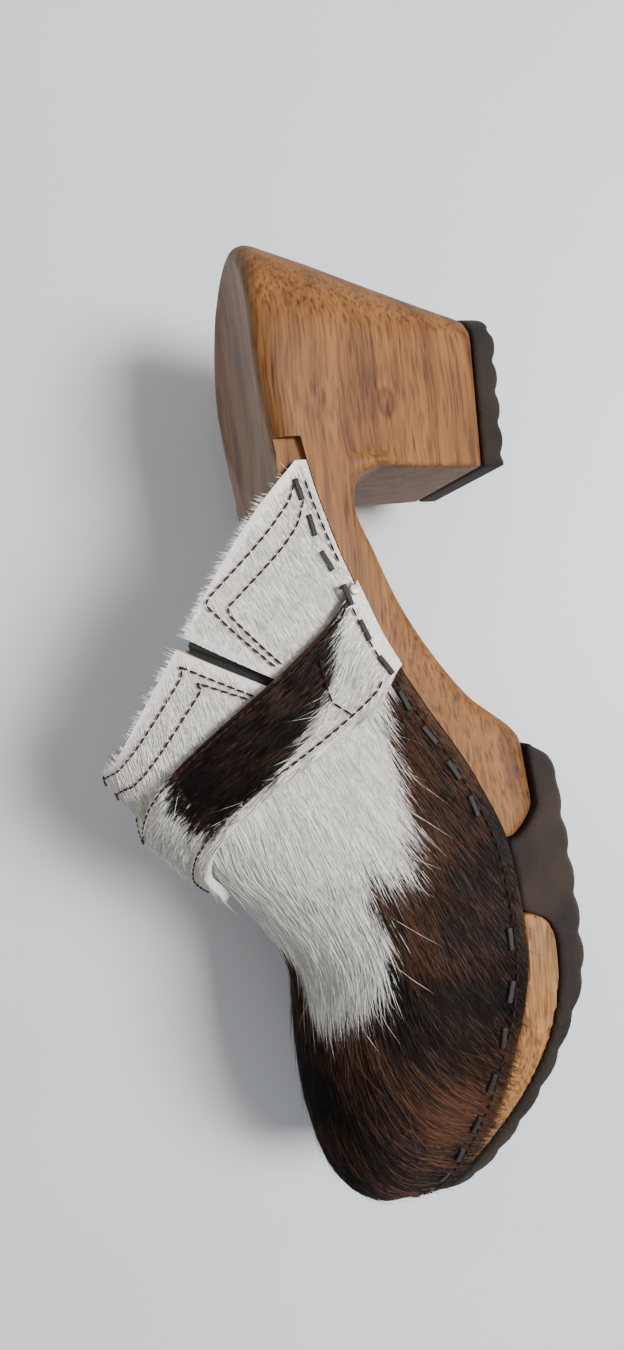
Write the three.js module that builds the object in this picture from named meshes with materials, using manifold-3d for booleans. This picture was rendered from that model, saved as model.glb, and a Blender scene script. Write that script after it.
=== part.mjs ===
// A left clog on a wooden platform of two pieces that a moulded rubber sole joins at the ball of the foot.
// The upper is stapled hide. Millimetres: +X towards the toe, +Y towards the wearer's left, +Z up.
import * as THREE from "three";
import { mergeVertices } from "three/addons/utils/BufferGeometryUtils.js";
import Module from "manifold-3d";

const wasm = await Module();
wasm.setup();

// ---- Driving dimensions ----------------------------------------------------------------------
const gap = 0.3; // clearance between pieces that touch on the real shoe

// Plan of the platform. Each pair is [lateral, medial] half width.
const soleLength = 247; // station of the toe's tip
const seatBack = 2; // station of the back of the seat
const heelRound = 34; // station where the seat's rounded back meets its sides
const heelHalf = [31.5, 31];
const waistX = 88;
const waistHalf = [32.5, 28.5];
const toeStart = 178; // where the ball is widest and the toe begins to round
const ballHalf = [46.5, 45];
const tipShift = -11; // how far the tip lies towards the medial side

// Heights above the floor.
const seatHeight = 61;
const ballTop = 25; // top of the platform at the ball
const liftThickness = 6;
const woodBase = 8.3; // underside of the platform at the ball
const archHeight = 41; // underside of the platform just in front of the heel
const toeLift = 17; // rise of the tread at the tip
const instepHeight = 101; // highest point of the upper's opening
const toeBoxHeight = 57;

// Heel.
const heelBackFoot = 23; // station of the back of the heel at the floor
const breastX = 64;
const heelFootHalf = 24;
const dishDepth = 2.5;
const dishMargin = 5;

// Flexing joint between the two pieces of the platform.
const rearWoodEnd = 150.4;
const toeWoodStart = 166.8;
const treadStart = 130;
const treadProud = 0.5; // how far the tread stands out past the platform
const treadEdgeRise = 3;
const treadEdgeRun = 8;

// Upper.
const leatherThickness = 2;
const stiffenerThickness = 1;
const liningThickness = 0.8;
const rebateStart = 57; // where the step in the platform's side begins
const leatherStart = 62.5; // rear tips of the collars
const leatherOverlap = 10; // how far the leather reaches down the platform's side
const rebateDepth = leatherThickness + 2 * gap;
const wallShare = 0.85; // the across value at the platform's top edge, below which the leather is upright
const spineLead = 14; // how far the toe's pole lies in front of toeStart
const strapFoot = [90.5, 110]; // the strap's rear and front edge where it meets the platform
const strapRidge = [147, 162]; // and over the instep
const strapCrown = 0.16; // how widely the strap's edges round over the crest, as an across value
const strapThickness = 2;
const strapPile = 1.2; // room for the hair between the strap and what it covers
const layerGap = 0.5; // between the leather, its stiffener and its lining
const strapSeam = 1.5; // distance between the collars and the vamp under the strap
const goreWidth = 16;
const goreShown = 2.6; // width of the elastic that shows between the collars
const goreX = 99.5;
const elbowAcross = 0.7; // where the gore passes under the strap
const goreTuck = 0.06; // how far the elastic goes on under the strap, as an across value
const medialTurnX = 100; // station of the medial quarter's opening above its corner under the strap
const medialDip = 9; // how much lower the opening lies along its medial side
const liningSetback = 9; // how far in front of the leather's rear tips the linings start
const puffStart = 196;

// Staples and tacks.
const crownWidth = 5;
const wireWidth = 1.2;
const wireThickness = 0.8;
const legLength = 8;
const stapleRise = 4; // height of a staple above the leather's lower edge
const rearStaples = 10; // along each side of the rear piece
const toeStaples = 19; // round the toe piece
const rearStapleSpan = [69.2, 142.6];
const toeStapleStart = 171;
const tackRadius = 1.3;
const tackShank = 0.6;
const tackHead = 0.8;
const tackPlace = 2; // from the strap's rear edge
const tackRise = 1.7;
const tackLength = 7;
const tackPoint = 1.5; // length of the tack's pointed end

// Tread pattern.
const grooveDepth = 1.2;
const grooveWidth = 2.4;
const liftGrooves = 3;
const ballGrooves = 1;
const toeGrooves = 3;
const treadFlat = 8; // distance in which the tread comes down to the floor behind the ball
const grooveReach = 12; // how far in front of toeStart the grooves go

const LATERAL = 1;
const MEDIAL = -1;
const bodyTop = 200; // higher than any piece
const cutMargin = 5; // how far a cutter reaches past what it cuts

// ---- Curves ----------------------------------------------------------------------------------
const lerp = THREE.MathUtils.lerp;
const clamp = THREE.MathUtils.clamp;
const smooth = (from, to, x) => THREE.MathUtils.smoothstep(x, from, to);
const pick = (pair, side) => pair[side === LATERAL ? 0 : 1];

// A curve y(x) through knots that never overshoots them.
function profile(knots) {
  const step = knots.slice(1).map(([x, y], i) => (y - knots[i][1]) / (x - knots[i][0]));
  const slope = knots.map((_, i) => {
    if (i === 0 || i === knots.length - 1) return step[Math.min(i, step.length - 1)];
    const [a, b] = [step[i - 1], step[i]];
    return a * b <= 0 ? 0 : (2 * a * b) / (a + b);
  });
  return (x) => {
    let i = 0;
    while (i < knots.length - 2 && x > knots[i + 1][0]) i++;
    const [x0, y0] = knots[i];
    const [x1, y1] = knots[i + 1];
    const w = x1 - x0;
    const t = clamp((x - x0) / w, 0, 1);
    const h = t * t * (3 - 2 * t);
    const curve = y0 + (y1 - y0) * h + w * (slope[i] * t * (1 - t) ** 2 - slope[i + 1] * t * t * (1 - t));
    return curve + (x < x0 ? slope[0] * (x - x0) : 0);
  };
}

// Height of the platform's top edge, its underside, the tread's underside and the leather's lower edge.
const toeRun = soleLength - toeStart;
const toeTop = ballTop + 13;
const ballBackX = 155;
const woodTop = profile([
  [seatBack, seatHeight],
  [30, seatHeight + 0.5],
  [62, seatHeight - 2.5],
  [80, seatHeight - 6],
  [99, seatHeight - 11],
  [117, lerp(seatHeight, ballTop, 0.54)],
  [137, lerp(seatHeight, ballTop, 0.83)],
  [ballBackX, ballTop + 0.7],
  [172, ballTop],
  [toeStart + 0.37 * toeRun, lerp(ballTop, toeTop, 0.38)],
  [toeStart + 0.76 * toeRun, lerp(ballTop, toeTop, 0.82)],
  [soleLength, toeTop],
]);
const archBottom = profile([
  [breastX - 2, archHeight - 11],
  [breastX + 0.2, archHeight - 6],
  [breastX + 2.2, archHeight - 1.8],
  [breastX + 8, archHeight],
  [84, lerp(archHeight, woodBase, 0.13)],
  [95, lerp(archHeight, woodBase, 0.27)],
  [106, lerp(archHeight, woodBase, 0.44)],
  [118, lerp(archHeight, woodBase, 0.67)],
  [treadStart, woodBase],
  [143, woodBase],
  [147.5, woodBase + 2.6],
  [rearWoodEnd, woodBase + 6],
]);
const toeBottom = profile([
  [toeWoodStart, woodBase + 5.5],
  [toeWoodStart + 2.2, woodBase + 1.6],
  [toeWoodStart + 7, woodBase],
  [toeStart + 2, woodBase + 0.1],
  [toeStart + 0.23 * toeRun, woodBase + 0.14 * toeLift],
  [toeStart + 0.42 * toeRun, woodBase + 0.42 * toeLift],
  [toeStart + 0.6 * toeRun, woodBase + 0.76 * toeLift],
  [toeStart + 0.78 * toeRun, woodBase + 1.04 * toeLift],
  [soleLength, woodBase + 1.2 * toeLift],
]);
const treadBottom = profile([
  [treadStart, woodBase - 1.2],
  [treadStart + treadFlat / 2, 1],
  [treadStart + treadFlat, 0],
  [toeStart, 0],
  [toeStart + 0.3 * toeRun, 0.33 * toeLift],
  [toeStart + 0.6 * toeRun, 0.82 * toeLift],
  [soleLength, 1.38 * toeLift],
]);
const overlapAt = profile([
  [rebateStart, 6],
  [80, leatherOverlap - 2.5],
  [99, leatherOverlap - 0.5],
  [toeStart, leatherOverlap - 0.6],
  [soleLength, leatherOverlap - 2.5],
]);
const leatherEdge = (x) => woodTop(x) - overlapAt(x);

// Height of the upper's crest, which behind the opening's peak is where its walls would meet.
const peakX = 131;
const poleX = toeStart + spineLead;
const crest = profile([
  [rebateStart, instepHeight + 17],
  [80, instepHeight + 15],
  [100, instepHeight + 11],
  [120, instepHeight + 5],
  [peakX, instepHeight],
  [147, lerp(instepHeight, toeBoxHeight, 0.28)],
  [155, lerp(instepHeight, toeBoxHeight, 0.46)],
  [162, lerp(instepHeight, toeBoxHeight, 0.64)],
  [173, lerp(instepHeight, toeBoxHeight, 0.82)],
  [184, lerp(instepHeight, toeBoxHeight, 0.96)],
  [poleX, toeBoxHeight],
]);
const opening = profile([
  [leatherStart, leatherEdge(leatherStart) + 2.5],
  [73, lerp(seatHeight, instepHeight, 0.08)],
  [85, lerp(seatHeight, instepHeight, 0.3)],
  [96, lerp(seatHeight, instepHeight, 0.47)],
  [114, lerp(seatHeight, instepHeight, 0.75)],
  [peakX, instepHeight],
]);

// How the upper's cross-section bulges: handle lengths as shares of its height and width.
const wallHandle = profile([
  [rebateStart, 0.34],
  [100, 0.36],
  [150, 0.5],
  [toeStart, 0.62],
  [soleLength, 0.85],
]);
const topHandle = profile([
  [rebateStart, 0.38],
  [100, 0.38],
  [toeStart, 0.5],
  [soleLength, 0.55],
]);
const wallLean = profile([
  [rebateStart, 2],
  [100, 3.5],
  [150, 1.5],
  [toeStart, 0],
  [soleLength, -2.5],
]);

// ---- Plan outline ----------------------------------------------------------------------------
function halfWidth(x, side) {
  const waist = pick(waistHalf, side);
  if (x < waistX) {
    const seat = lerp(pick(heelHalf, side), waist, smooth(heelRound, waistX, x));
    const back = clamp((heelRound - x) / (heelRound - seatBack), 0, 1);
    return seat * Math.sqrt(1 - back * back);
  }
  return lerp(waist, pick(ballHalf, side), smooth(waistX, toeStart, x));
}

// A point of the outline. A station is the point's x as far as toeStart, and turns evenly round the toe
// from there to soleLength. inset moves the point inwards by that distance from the outline, within the
// station's own cross-section as far as toeStart.
function outline(station, side, inset = 0) {
  let x = station;
  let y = side * halfWidth(station, side);
  let dx = 1;
  let dy = side * (halfWidth(station + 0.01, side) - halfWidth(station - 0.01, side)) * 50;
  if (station > toeStart) {
    const turn = (clamp((station - toeStart) / toeRun, 0, 1) * Math.PI) / 2;
    const half = pick(ballHalf, side);
    x = toeStart + toeRun * Math.sin(turn);
    y = side * half * Math.cos(turn) + tipShift * Math.sin(turn) ** 2;
    dx = toeRun * Math.cos(turn);
    dy = -side * half * Math.sin(turn) + tipShift * Math.sin(2 * turn);
  }
  const length = Math.hypot(dx, dy);
  const normal = [(-side * dy) / length, (side * dx) / length];
  if (station <= toeStart) return { x, y: y - (side * inset * length) / dx, normal };
  return { x: x - inset * normal[0], y: y - inset * normal[1], normal };
}

// Evenly spaced stations, no further apart than step.
function stations(from, to, step) {
  const count = Math.max(2, Math.ceil((to - from) / step));
  return Array.from({ length: count + 1 }, (_, i) => lerp(from, to, i / count));
}

// ---- Upper's surface -------------------------------------------------------------------------
// A point of the upper at a station and at across, which runs from 1 at the lateral edge over 0 at the
// crest to -1 at the medial edge. depth is the distance inwards from the leather's outer face.
function upperPoint(station, across, depth) {
  const side = across >= 0 ? LATERAL : MEDIAL;
  const edge = outline(station, side, depth);
  const edgeZ = leatherEdge(outline(station, side).x);
  const spineX = Math.min(station, toeStart) + spineLead * smooth(ballBackX, toeStart, station);
  const slope = (crest(spineX + 0.5) - crest(spineX - 0.5)) * (spineX < poleX - 0.5 ? 1 : 0);
  const spineY = tipShift * 0.4 * smooth(ballBackX, toeStart, station);
  const spineZ = crest(spineX) - depth * Math.hypot(1, slope);
  const wallZ = woodTop(outline(station, side).x);
  const share = Math.abs(across);
  if (share > wallShare) {
    return new THREE.Vector3(edge.x, edge.y, lerp(wallZ, edgeZ, (share - wallShare) / (1 - wallShare)));
  }
  const rise = wallHandle(station) * (spineZ - wallZ);
  const lean = wallLean(station);
  const reach = topHandle(station);
  const crown = smooth(toeStart, soleLength, station);
  const curve = new THREE.CubicBezierCurve3(
    new THREE.Vector3(spineX, spineY, spineZ),
    new THREE.Vector3(lerp(spineX, edge.x, reach), lerp(spineY, edge.y, reach), spineZ + crown),
    new THREE.Vector3(edge.x - lean * edge.normal[0], edge.y - lean * edge.normal[1], wallZ + rise),
    new THREE.Vector3(edge.x, edge.y, wallZ),
  );
  return curve.getPoint(share / wallShare);
}

// The across value, from 0 to 1, at which the upper reaches a height on one side.
function acrossAtHeight(station, side, depth, height) {
  let low = 0;
  let high = 1;
  for (let i = 0; i < 30; i++) {
    const middle = (low + high) / 2;
    if (upperPoint(station, side * middle, depth).z > height) low = middle;
    else high = middle;
  }
  return (low + high) / 2;
}

// ---- Solids ----------------------------------------------------------------------------------
function solidOf(geometry, matrix = new THREE.Matrix4()) {
  const bare = geometry.clone().applyMatrix4(matrix);
  bare.deleteAttribute("normal");
  bare.deleteAttribute("uv");
  const merged = mergeVertices(bare, 1e-3);
  const vertProperties = merged.attributes.position.array;
  const corners = merged.index.array;
  const kept = [];
  for (let i = 0; i < corners.length; i += 3) {
    const [a, b, c] = corners.slice(i, i + 3);
    if (a !== b && b !== c && c !== a) kept.push(a, b, c);
  }
  const build = (triVerts) =>
    new wasm.Manifold(new wasm.Mesh({ numProp: 3, vertProperties, triVerts }));
  const made = build(new Uint32Array(kept));
  return made.volume() > 0 ? made : build(new Uint32Array(kept.reverse()));
}

function solidFrom(points, faces) {
  const geometry = new THREE.BufferGeometry().setFromPoints(points);
  geometry.setIndex(faces.flat());
  return solidOf(geometry);
}

function box(from, to) {
  const size = to.map((value, i) => value - from[i]);
  const middle = to.map((value, i) => (value + from[i]) / 2);
  return solidOf(new THREE.BoxGeometry(...size), new THREE.Matrix4().makeTranslation(...middle));
}

const join = (solids) => solids.reduce((whole, one) => whole.add(one));

// A quad's two triangles.
const quad = (a, b, c, d) => [
  [a, b, c],
  [a, c, d],
];

// A solid through rings of points, closed at both ends. flatten gives a point's place in its ring's plane.
function loft(rings, flatten) {
  const count = rings[0].length;
  const faces = [];
  for (let i = 0; i < rings.length - 1; i++) {
    for (let k = 0; k < count; k++) {
      const next = (k + 1) % count;
      const [low, high] = [i * count, (i + 1) * count];
      faces.push(...quad(low + k, high + k, high + next, low + next));
    }
  }
  for (const [ring, first, turned] of [
    [rings[0], 0, false],
    [rings.at(-1), (rings.length - 1) * count, true],
  ]) {
    const flat = ring.map(flatten);
    const turn = Math.sign(THREE.ShapeUtils.area(flat));
    if (Math.abs(THREE.ShapeUtils.area(flat)) < 1e-3) continue;
    for (const corners of THREE.ShapeUtils.triangulateShape(flat, [])) {
      const ordered = Math.sign(THREE.ShapeUtils.area(corners.map((k) => flat[k]))) === turn;
      const face = corners.map((k) => first + k);
      faces.push(ordered === turned ? face.reverse() : face);
    }
  }
  return solidFrom(rings.flat(), faces);
}
const acrossView = (point) => new THREE.Vector2(point.y, point.z);
const planView = (point) => new THREE.Vector2(point.x, point.y);

// A loft along the shoe whose ring holds, on each side, the same corners from the top down. corners gives
// them for one side of a station as pairs of inset and height.
function loftAlong(places, corners) {
  const rings = places.map((station) => {
    const [left, right] = [LATERAL, MEDIAL].map((side) =>
      corners(station, side).map(([inset, height]) => {
        const point = outline(station, side, inset);
        return new THREE.Vector3(point.x, point.y, height);
      }),
    );
    return [...left, ...right.reverse()];
  });
  return loft(rings, acrossView);
}

// A sheet on the upper between two depths. place gives the station and across value of u and v, which run
// from 0 to 1. A folded sheet's last column lies on itself, as where the toe's two sides meet.
function sheet(place, columns, rows, depths, folded = false) {
  const points = [];
  for (const depth of depths) {
    for (let i = 0; i <= columns; i++) {
      for (let j = 0; j <= rows; j++) {
        const [station, across] = place(i / columns, j / rows, depth);
        points.push(upperPoint(station, across, depth));
      }
    }
  }
  const at = (layer, i, j) => (layer * (columns + 1) + i) * (rows + 1) + j;
  const faces = [];
  for (let i = 0; i < columns; i++) {
    for (let j = 0; j < rows; j++) {
      faces.push(...quad(at(0, i, j), at(0, i + 1, j), at(0, i + 1, j + 1), at(0, i, j + 1)));
      faces.push(...quad(at(1, i, j), at(1, i, j + 1), at(1, i + 1, j + 1), at(1, i + 1, j)));
    }
    faces.push(...quad(at(0, i, 0), at(1, i, 0), at(1, i + 1, 0), at(0, i + 1, 0)));
    faces.push(...quad(at(0, i, rows), at(0, i + 1, rows), at(1, i + 1, rows), at(1, i, rows)));
  }
  for (let j = 0; j < rows; j++) {
    faces.push(...quad(at(0, 0, j), at(0, 0, j + 1), at(1, 0, j + 1), at(1, 0, j)));
    if (!folded) {
      faces.push(...quad(at(0, columns, j), at(1, columns, j), at(1, columns, j + 1), at(0, columns, j + 1)));
    }
  }
  return solidFrom(points, faces);
}

// ---- Staples and tacks -----------------------------------------------------------------------
// Where a fastener sits: on the leather or the strap, at a station and a height over the leather's edge.
function seat(station, side, rise, depth) {
  const point = outline(station, side);
  const height = leatherEdge(point.x) + rise;
  const middle = upperPoint(station, side * acrossAtHeight(station, side, depth, height), depth);
  const outward = new THREE.Vector3(point.normal[0], point.normal[1], 0);
  const back = outline(station - 1, side);
  const ahead = outline(Math.min(station + 1, soleLength), side);
  const climb = leatherEdge(ahead.x) - leatherEdge(back.x);
  const along = new THREE.Vector3(ahead.x - back.x, ahead.y - back.y, climb);
  if (station > soleLength - 1) along.set(-point.normal[1], point.normal[0], 0);
  along.addScaledVector(outward, -along.dot(outward)).normalize();
  const up = new THREE.Vector3().crossVectors(along, outward);
  return new THREE.Matrix4().makeBasis(along, outward, up).setPosition(middle);
}

const legReach = crownWidth / 2 - wireThickness;

// A staple's U, drawn with its crown along X and its legs towards -Y, extruded by the wire's width.
function stapleShape() {
  const shape = new THREE.Shape();
  const crown = gap + wireThickness;
  shape.moveTo(-crownWidth / 2, crown);
  shape.lineTo(-crownWidth / 2, -legLength);
  shape.lineTo(-legReach, -legLength);
  shape.lineTo(-legReach, gap);
  shape.lineTo(legReach, gap);
  shape.lineTo(legReach, -legLength);
  shape.lineTo(crownWidth / 2, -legLength);
  shape.lineTo(crownWidth / 2, crown);
  shape.closePath();
  const bent = new THREE.ExtrudeGeometry(shape, { depth: wireWidth, bevelEnabled: false });
  return bent.translate(0, 0, -wireWidth / 2);
}

// The holes that a staple's legs make, with clearance all round.
function legHoles(place) {
  return [-1, 1].map((end) => {
    const width = wireThickness + 2 * gap;
    const length = legLength + gap + cutMargin;
    const hole = new THREE.BoxGeometry(width, length, wireWidth + 2 * gap);
    hole.translate((end * (crownWidth - wireThickness)) / 2, -length / 2 + cutMargin, 0);
    return solidOf(hole, place);
  });
}

function tackGeometry() {
  const profilePoints = [
    [0, -tackLength],
    [tackShank, -tackLength + tackPoint],
    [tackShank, gap],
    [tackRadius, gap],
    [tackRadius * 0.8, gap + tackHead * 0.7],
    [0, gap + tackHead],
  ];
  return new THREE.LatheGeometry(profilePoints.map(([r, y]) => new THREE.Vector2(r, y)), 12);
}

function tackHole(place) {
  const hole = new THREE.CylinderGeometry(tackShank + gap, tackShank + gap, tackLength + gap + cutMargin, 12);
  hole.translate(0, (cutMargin - tackLength - gap) / 2, 0);
  return solidOf(hole, place);
}

// Edges of the strap and of what it covers, as stations at an across value. The sweep runs from 0 at the
// platform to 1 at the crest, which it rounds.
const strapSweep = (across) => {
  const spread = (value) => Math.hypot(value, strapCrown) - strapCrown;
  return Math.max(0, 1 - spread(across) / spread(1)) ** 1.1;
};
const strapRear = (across) => lerp(strapFoot[0], strapRidge[0], strapSweep(across));
const strapFront = (across) => lerp(strapFoot[1], strapRidge[1], strapSweep(across));
const strapMiddle = (across) => (strapRear(across) + strapFront(across)) / 2;
const vampStart = (across) => strapMiddle(across) + strapSeam / 2;
const collarEnd = (across) => strapMiddle(across) - strapSeam / 2;

const strapDepths = [-strapPile - strapThickness, -strapPile];
const leatherDepths = [0, leatherThickness];
const stiffenerDepths = [leatherThickness + layerGap, leatherThickness + layerGap + stiffenerThickness];
const liningDepths = [stiffenerDepths[1] + layerGap, stiffenerDepths[1] + layerGap + liningThickness];

// Staples in order along each side of the rear piece, then round the toe from lateral to medial.
const fasteners = [];
function addStaple(name, station, side) {
  const onStrap = station > strapFoot[0] && station < strapFoot[1];
  const place = seat(station, side, stapleRise, onStrap ? strapDepths[0] : 0);
  fasteners.push({ name, place, onStrap, holes: legHoles(place), geometry: stapleShape(), kind: "staple" });
}
for (const [word, side] of [
  ["lateral", LATERAL],
  ["medial", MEDIAL],
]) {
  for (let i = 0; i < rearStaples; i++) {
    const station = lerp(rearStapleSpan[0], rearStapleSpan[1], i / (rearStaples - 1));
    addStaple(`staple_rear_${word}_${i + 1}`, station, side);
  }
  const place = seat(strapFoot[0] + tackPlace, side, tackRise, strapDepths[0]);
  fasteners.push({
    name: `strap_tack_${word}`,
    place,
    onStrap: true,
    holes: [tackHole(place)],
    geometry: tackGeometry(),
    kind: "tack",
  });
}
const toeArc = toeEdgeArc();
for (let i = 0; i < toeStaples; i++) {
  const [station, side] = toeArc(i / (toeStaples - 1));
  addStaple(`staple_toe_${i + 1}`, station, side);
}

// Gives the station and side at a share of the way round the toe's edge.
function toeEdgeArc() {
  const fine = stations(toeStapleStart, soleLength, 0.5);
  const walk = [...fine.map((s) => [s, LATERAL]), ...fine.reverse().map((s) => [s, MEDIAL])];
  const lengths = [0];
  walk.slice(1).forEach(([station, side], i) => {
    const here = outline(station, side);
    const before = outline(...walk[i]);
    lengths.push(lengths[i] + Math.hypot(here.x - before.x, here.y - before.y));
  });
  return (share) => {
    const target = share * lengths.at(-1);
    const k = Math.max(1, lengths.findIndex((length) => length >= target - 1e-6));
    return walk[k];
  };
}

const allHoles = join(fasteners.flatMap((one) => one.holes));

// ---- Wood ------------------------------------------------------------------------------------
// The heel, as level rings from its foot to over the seat.
function heelBlock(from, to) {
  const backTurns = 9;
  const sideSteps = 4;
  const fullHeight = archHeight + 3;
  const rings = [from, lerp(from, fullHeight, 0.5), fullHeight, to].map((height) => {
    const grown = clamp((height - liftThickness) / (fullHeight - liftThickness), 0, 1);
    const lean = clamp((height - liftThickness) / (seatHeight - liftThickness), 0, 1);
    const back = lerp(heelBackFoot, seatBack, lean);
    const sideRing = (side) => {
      const points = [];
      for (let i = 0; i <= sideSteps; i++) {
        const x = lerp(breastX, heelRound, i / sideSteps);
        points.push([x, lerp(heelFootHalf, halfWidth(x, side), grown)]);
      }
      const half = points.at(-1)[1];
      for (let i = 1; i <= backTurns; i++) {
        const turn = (i / backTurns) * (Math.PI / 2);
        points.push([lerp(heelRound, back, Math.sin(turn)), half * Math.cos(turn)]);
      }
      return points.map(([x, y]) => new THREE.Vector3(x, side * y, height));
    };
    return [...sideRing(LATERAL), ...sideRing(MEDIAL).reverse().slice(1)];
  });
  return loft(rings, planView);
}

function makeRearWood() {
  const seatBlock = heelBlock(liftThickness + gap, seatHeight + cutMargin);
  const waist = loftAlong(stations(breastX - 2, rearWoodEnd, 4.4), (station) => [
    [0, woodTop(station) + cutMargin],
    [0, archBottom(station)],
  ]);
  const underTop = loft(
    stations(seatBack - cutMargin, rearWoodEnd + cutMargin, 5).map((x) =>
      [
        [1, -cutMargin],
        [1, woodTop(clamp(x, seatBack, rearWoodEnd))],
        [-1, woodTop(clamp(x, seatBack, rearWoodEnd))],
        [-1, -cutMargin],
      ].map(([side, z]) => new THREE.Vector3(x, side * bodyTop, z)),
    ),
    acrossView,
  );
  const dishDeep = 12; // height of the flattened ball that hollows the seat
  const dishLong = heelRound - dishMargin;
  const dishWide = heelHalf[1] - dishMargin;
  const shrink = Math.sqrt(1 - ((dishDeep - dishDepth) / dishDeep) ** 2);
  const dish = solidOf(
    new THREE.SphereGeometry(1, 36, 40),
    new THREE.Matrix4()
      .makeTranslation(heelRound, 0, seatHeight + dishDeep - dishDepth)
      .multiply(new THREE.Matrix4().makeRotationX(Math.PI / 2))
      .scale(new THREE.Vector3(dishLong / shrink, dishDeep, dishWide / shrink)),
  );
  return seatBlock.add(waist).intersect(underTop).subtract(dish).subtract(rebate()).subtract(allHoles);
}

// The step in the side of the rear piece that the leather fills.
function rebate() {
  const sides = [LATERAL, MEDIAL].map((side) => {
    const rings = stations(rebateStart, rearWoodEnd + cutMargin, 5).map((station) =>
      [
        [-cutMargin, leatherEdge(station) - gap],
        [-cutMargin, bodyTop],
        [rebateDepth, bodyTop],
        [rebateDepth, leatherEdge(station) - gap],
      ].map(([inset, z]) => {
        const point = outline(station, side, inset);
        return new THREE.Vector3(point.x, point.y, z);
      }),
    );
    return loft(rings, acrossView);
  });
  return join(sides);
}

const toeStations = [
  ...stations(toeWoodStart, toeStart, 2.2),
  ...stations(toeStart, soleLength, 5.5).slice(1),
];

function makeToeWood() {
  return loftAlong(toeStations, (station, side) => {
    const { x } = outline(station, side);
    const step = leatherEdge(x) - gap;
    return [
      [rebateDepth, woodTop(x)],
      [rebateDepth, step],
      [0, step],
      [0, Math.min(toeBottom(x), step - gap)],
    ];
  }).subtract(allHoles);
}

// ---- Rubber ----------------------------------------------------------------------------------
function makeHeelLift() {
  const solid = loft([heelRing(0), heelRing(liftThickness)], planView);
  const grooves = Array.from({ length: liftGrooves }, (_, i) =>
    groove(lerp(heelBackFoot, breastX, (i + 1) / (liftGrooves + 1))),
  );
  return solid.subtract(join(grooves));
}

// The lift's outline at a height.
function heelRing(height) {
  const turns = 12;
  const sideRing = (side) => {
    const points = [[breastX, heelFootHalf]];
    for (let i = 0; i <= turns; i++) {
      const turn = (i / turns) * (Math.PI / 2);
      points.push([lerp(heelRound, heelBackFoot, Math.sin(turn)), heelFootHalf * Math.cos(turn)]);
    }
    return points.map(([x, y]) => new THREE.Vector3(x, side * y, height));
  };
  return [...sideRing(LATERAL), ...sideRing(MEDIAL).reverse().slice(1)];
}

function groove(x) {
  return box([x - grooveWidth / 2, -bodyTop, -cutMargin], [x + grooveWidth / 2, bodyTop, grooveDepth]);
}

function tread(places, top, grooveCount) {
  const solid = loftAlong(places, (station, side) => {
    const { x } = outline(station, side);
    const under = treadBottom(x);
    const upper = top(x);
    return [
      [-treadProud, upper],
      [-treadProud, Math.min(under + treadEdgeRise, upper - 1)],
      [Math.min(treadEdgeRun, Math.abs(outline(station, side).y) * 0.8), under],
    ];
  });
  const from = Math.max(places[0], treadStart + treadFlat);
  const to = Math.min(places.at(-1), toeStart + grooveReach);
  const grooves = Array.from({ length: grooveCount }, (_, i) =>
    groove(lerp(from, to, (i + 1) / (grooveCount + 1))),
  );
  return solid.subtract(join(grooves));
}

function makeBallOutsole() {
  return tread(stations(treadStart, rearWoodEnd, 2), (x) => archBottom(x) - gap, ballGrooves);
}

function makeToeOutsole() {
  return tread(toeStations, (x) => Math.min(toeBottom(x), leatherEdge(x) - 2 * gap) - gap, toeGrooves);
}

function makeFlexBridge() {
  return loftAlong(stations(rearWoodEnd + gap, toeWoodStart - gap, 4), (station, side) => {
    const { x } = outline(station, side);
    const step = leatherEdge(x) - gap;
    return [
      [rebateDepth, woodTop(x) - gap],
      [rebateDepth, step],
      [-treadProud, step],
      [-treadProud, gap + treadEdgeRise],
      [treadEdgeRun, gap],
    ];
  });
}

// ---- Upper -----------------------------------------------------------------------------------
const wallRows = 8;

// Across value of the lowest point of an inner piece, which ends on top of the platform.
function aboveWood(station, side, depth) {
  const { x } = outline(station, side);
  return acrossAtHeight(station, side, depth, woodTop(x) + gap);
}

function vampSheet(depths, toPlatform) {
  const wallRow = 1 - 1 / wallRows;
  // Puts one row of vertices on the platform's top edge.
  const rowAcross = (turned) => {
    const share = Math.abs(turned);
    const low = lerp(wallShare, 1, (share - wallRow) * wallRows);
    return Math.sign(turned) * (share > wallRow ? low : (share / wallRow) * wallShare);
  };
  const rearColumns = 13;
  const toeColumns = 14;
  const columns = rearColumns + toeColumns;
  const place = (u, v, depth) => {
    const turned = toPlatform ? 1 - 2 * v : rowAcross(1 - 2 * v);
    const side = turned >= 0 ? LATERAL : MEDIAL;
    const i = u * columns;
    const from = vampStart(turned * (toPlatform ? wallShare : 1));
    const station =
      i <= rearColumns
        ? lerp(from, toeStart, i / rearColumns)
        : lerp(toeStart, soleLength, (i - rearColumns) / toeColumns);
    return [station, toPlatform ? turned * aboveWood(station, side, depth) : turned];
  };
  return sheet(place, columns, 2 * wallRows, depths, true);
}

// The stiff insert between the toe's leather and lining, round the toe's wall.
function makeToePuff() {
  const topAcross = 0.35;
  const place = (u, v, depth) => {
    const turned = 1 - 2 * u;
    const side = turned >= 0 ? LATERAL : MEDIAL;
    const station = lerp(soleLength, puffStart, Math.abs(turned));
    return [station, side * lerp(topAcross, aboveWood(station, side, depth), v)];
  };
  return sheet(place, 20, 5, stiffenerDepths);
}

// The across value, from 0 to 1, of the opening's edge.
function openingAcross(x, side) {
  if (x >= peakX) return 0;
  const dip = side === MEDIAL ? medialDip * smooth(leatherStart, 80, x) * (1 - smooth(105, peakX, x)) : 0;
  return acrossAtHeight(x, side, 0, Math.min(opening(x) - dip, crest(x) - 0.01));
}

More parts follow.
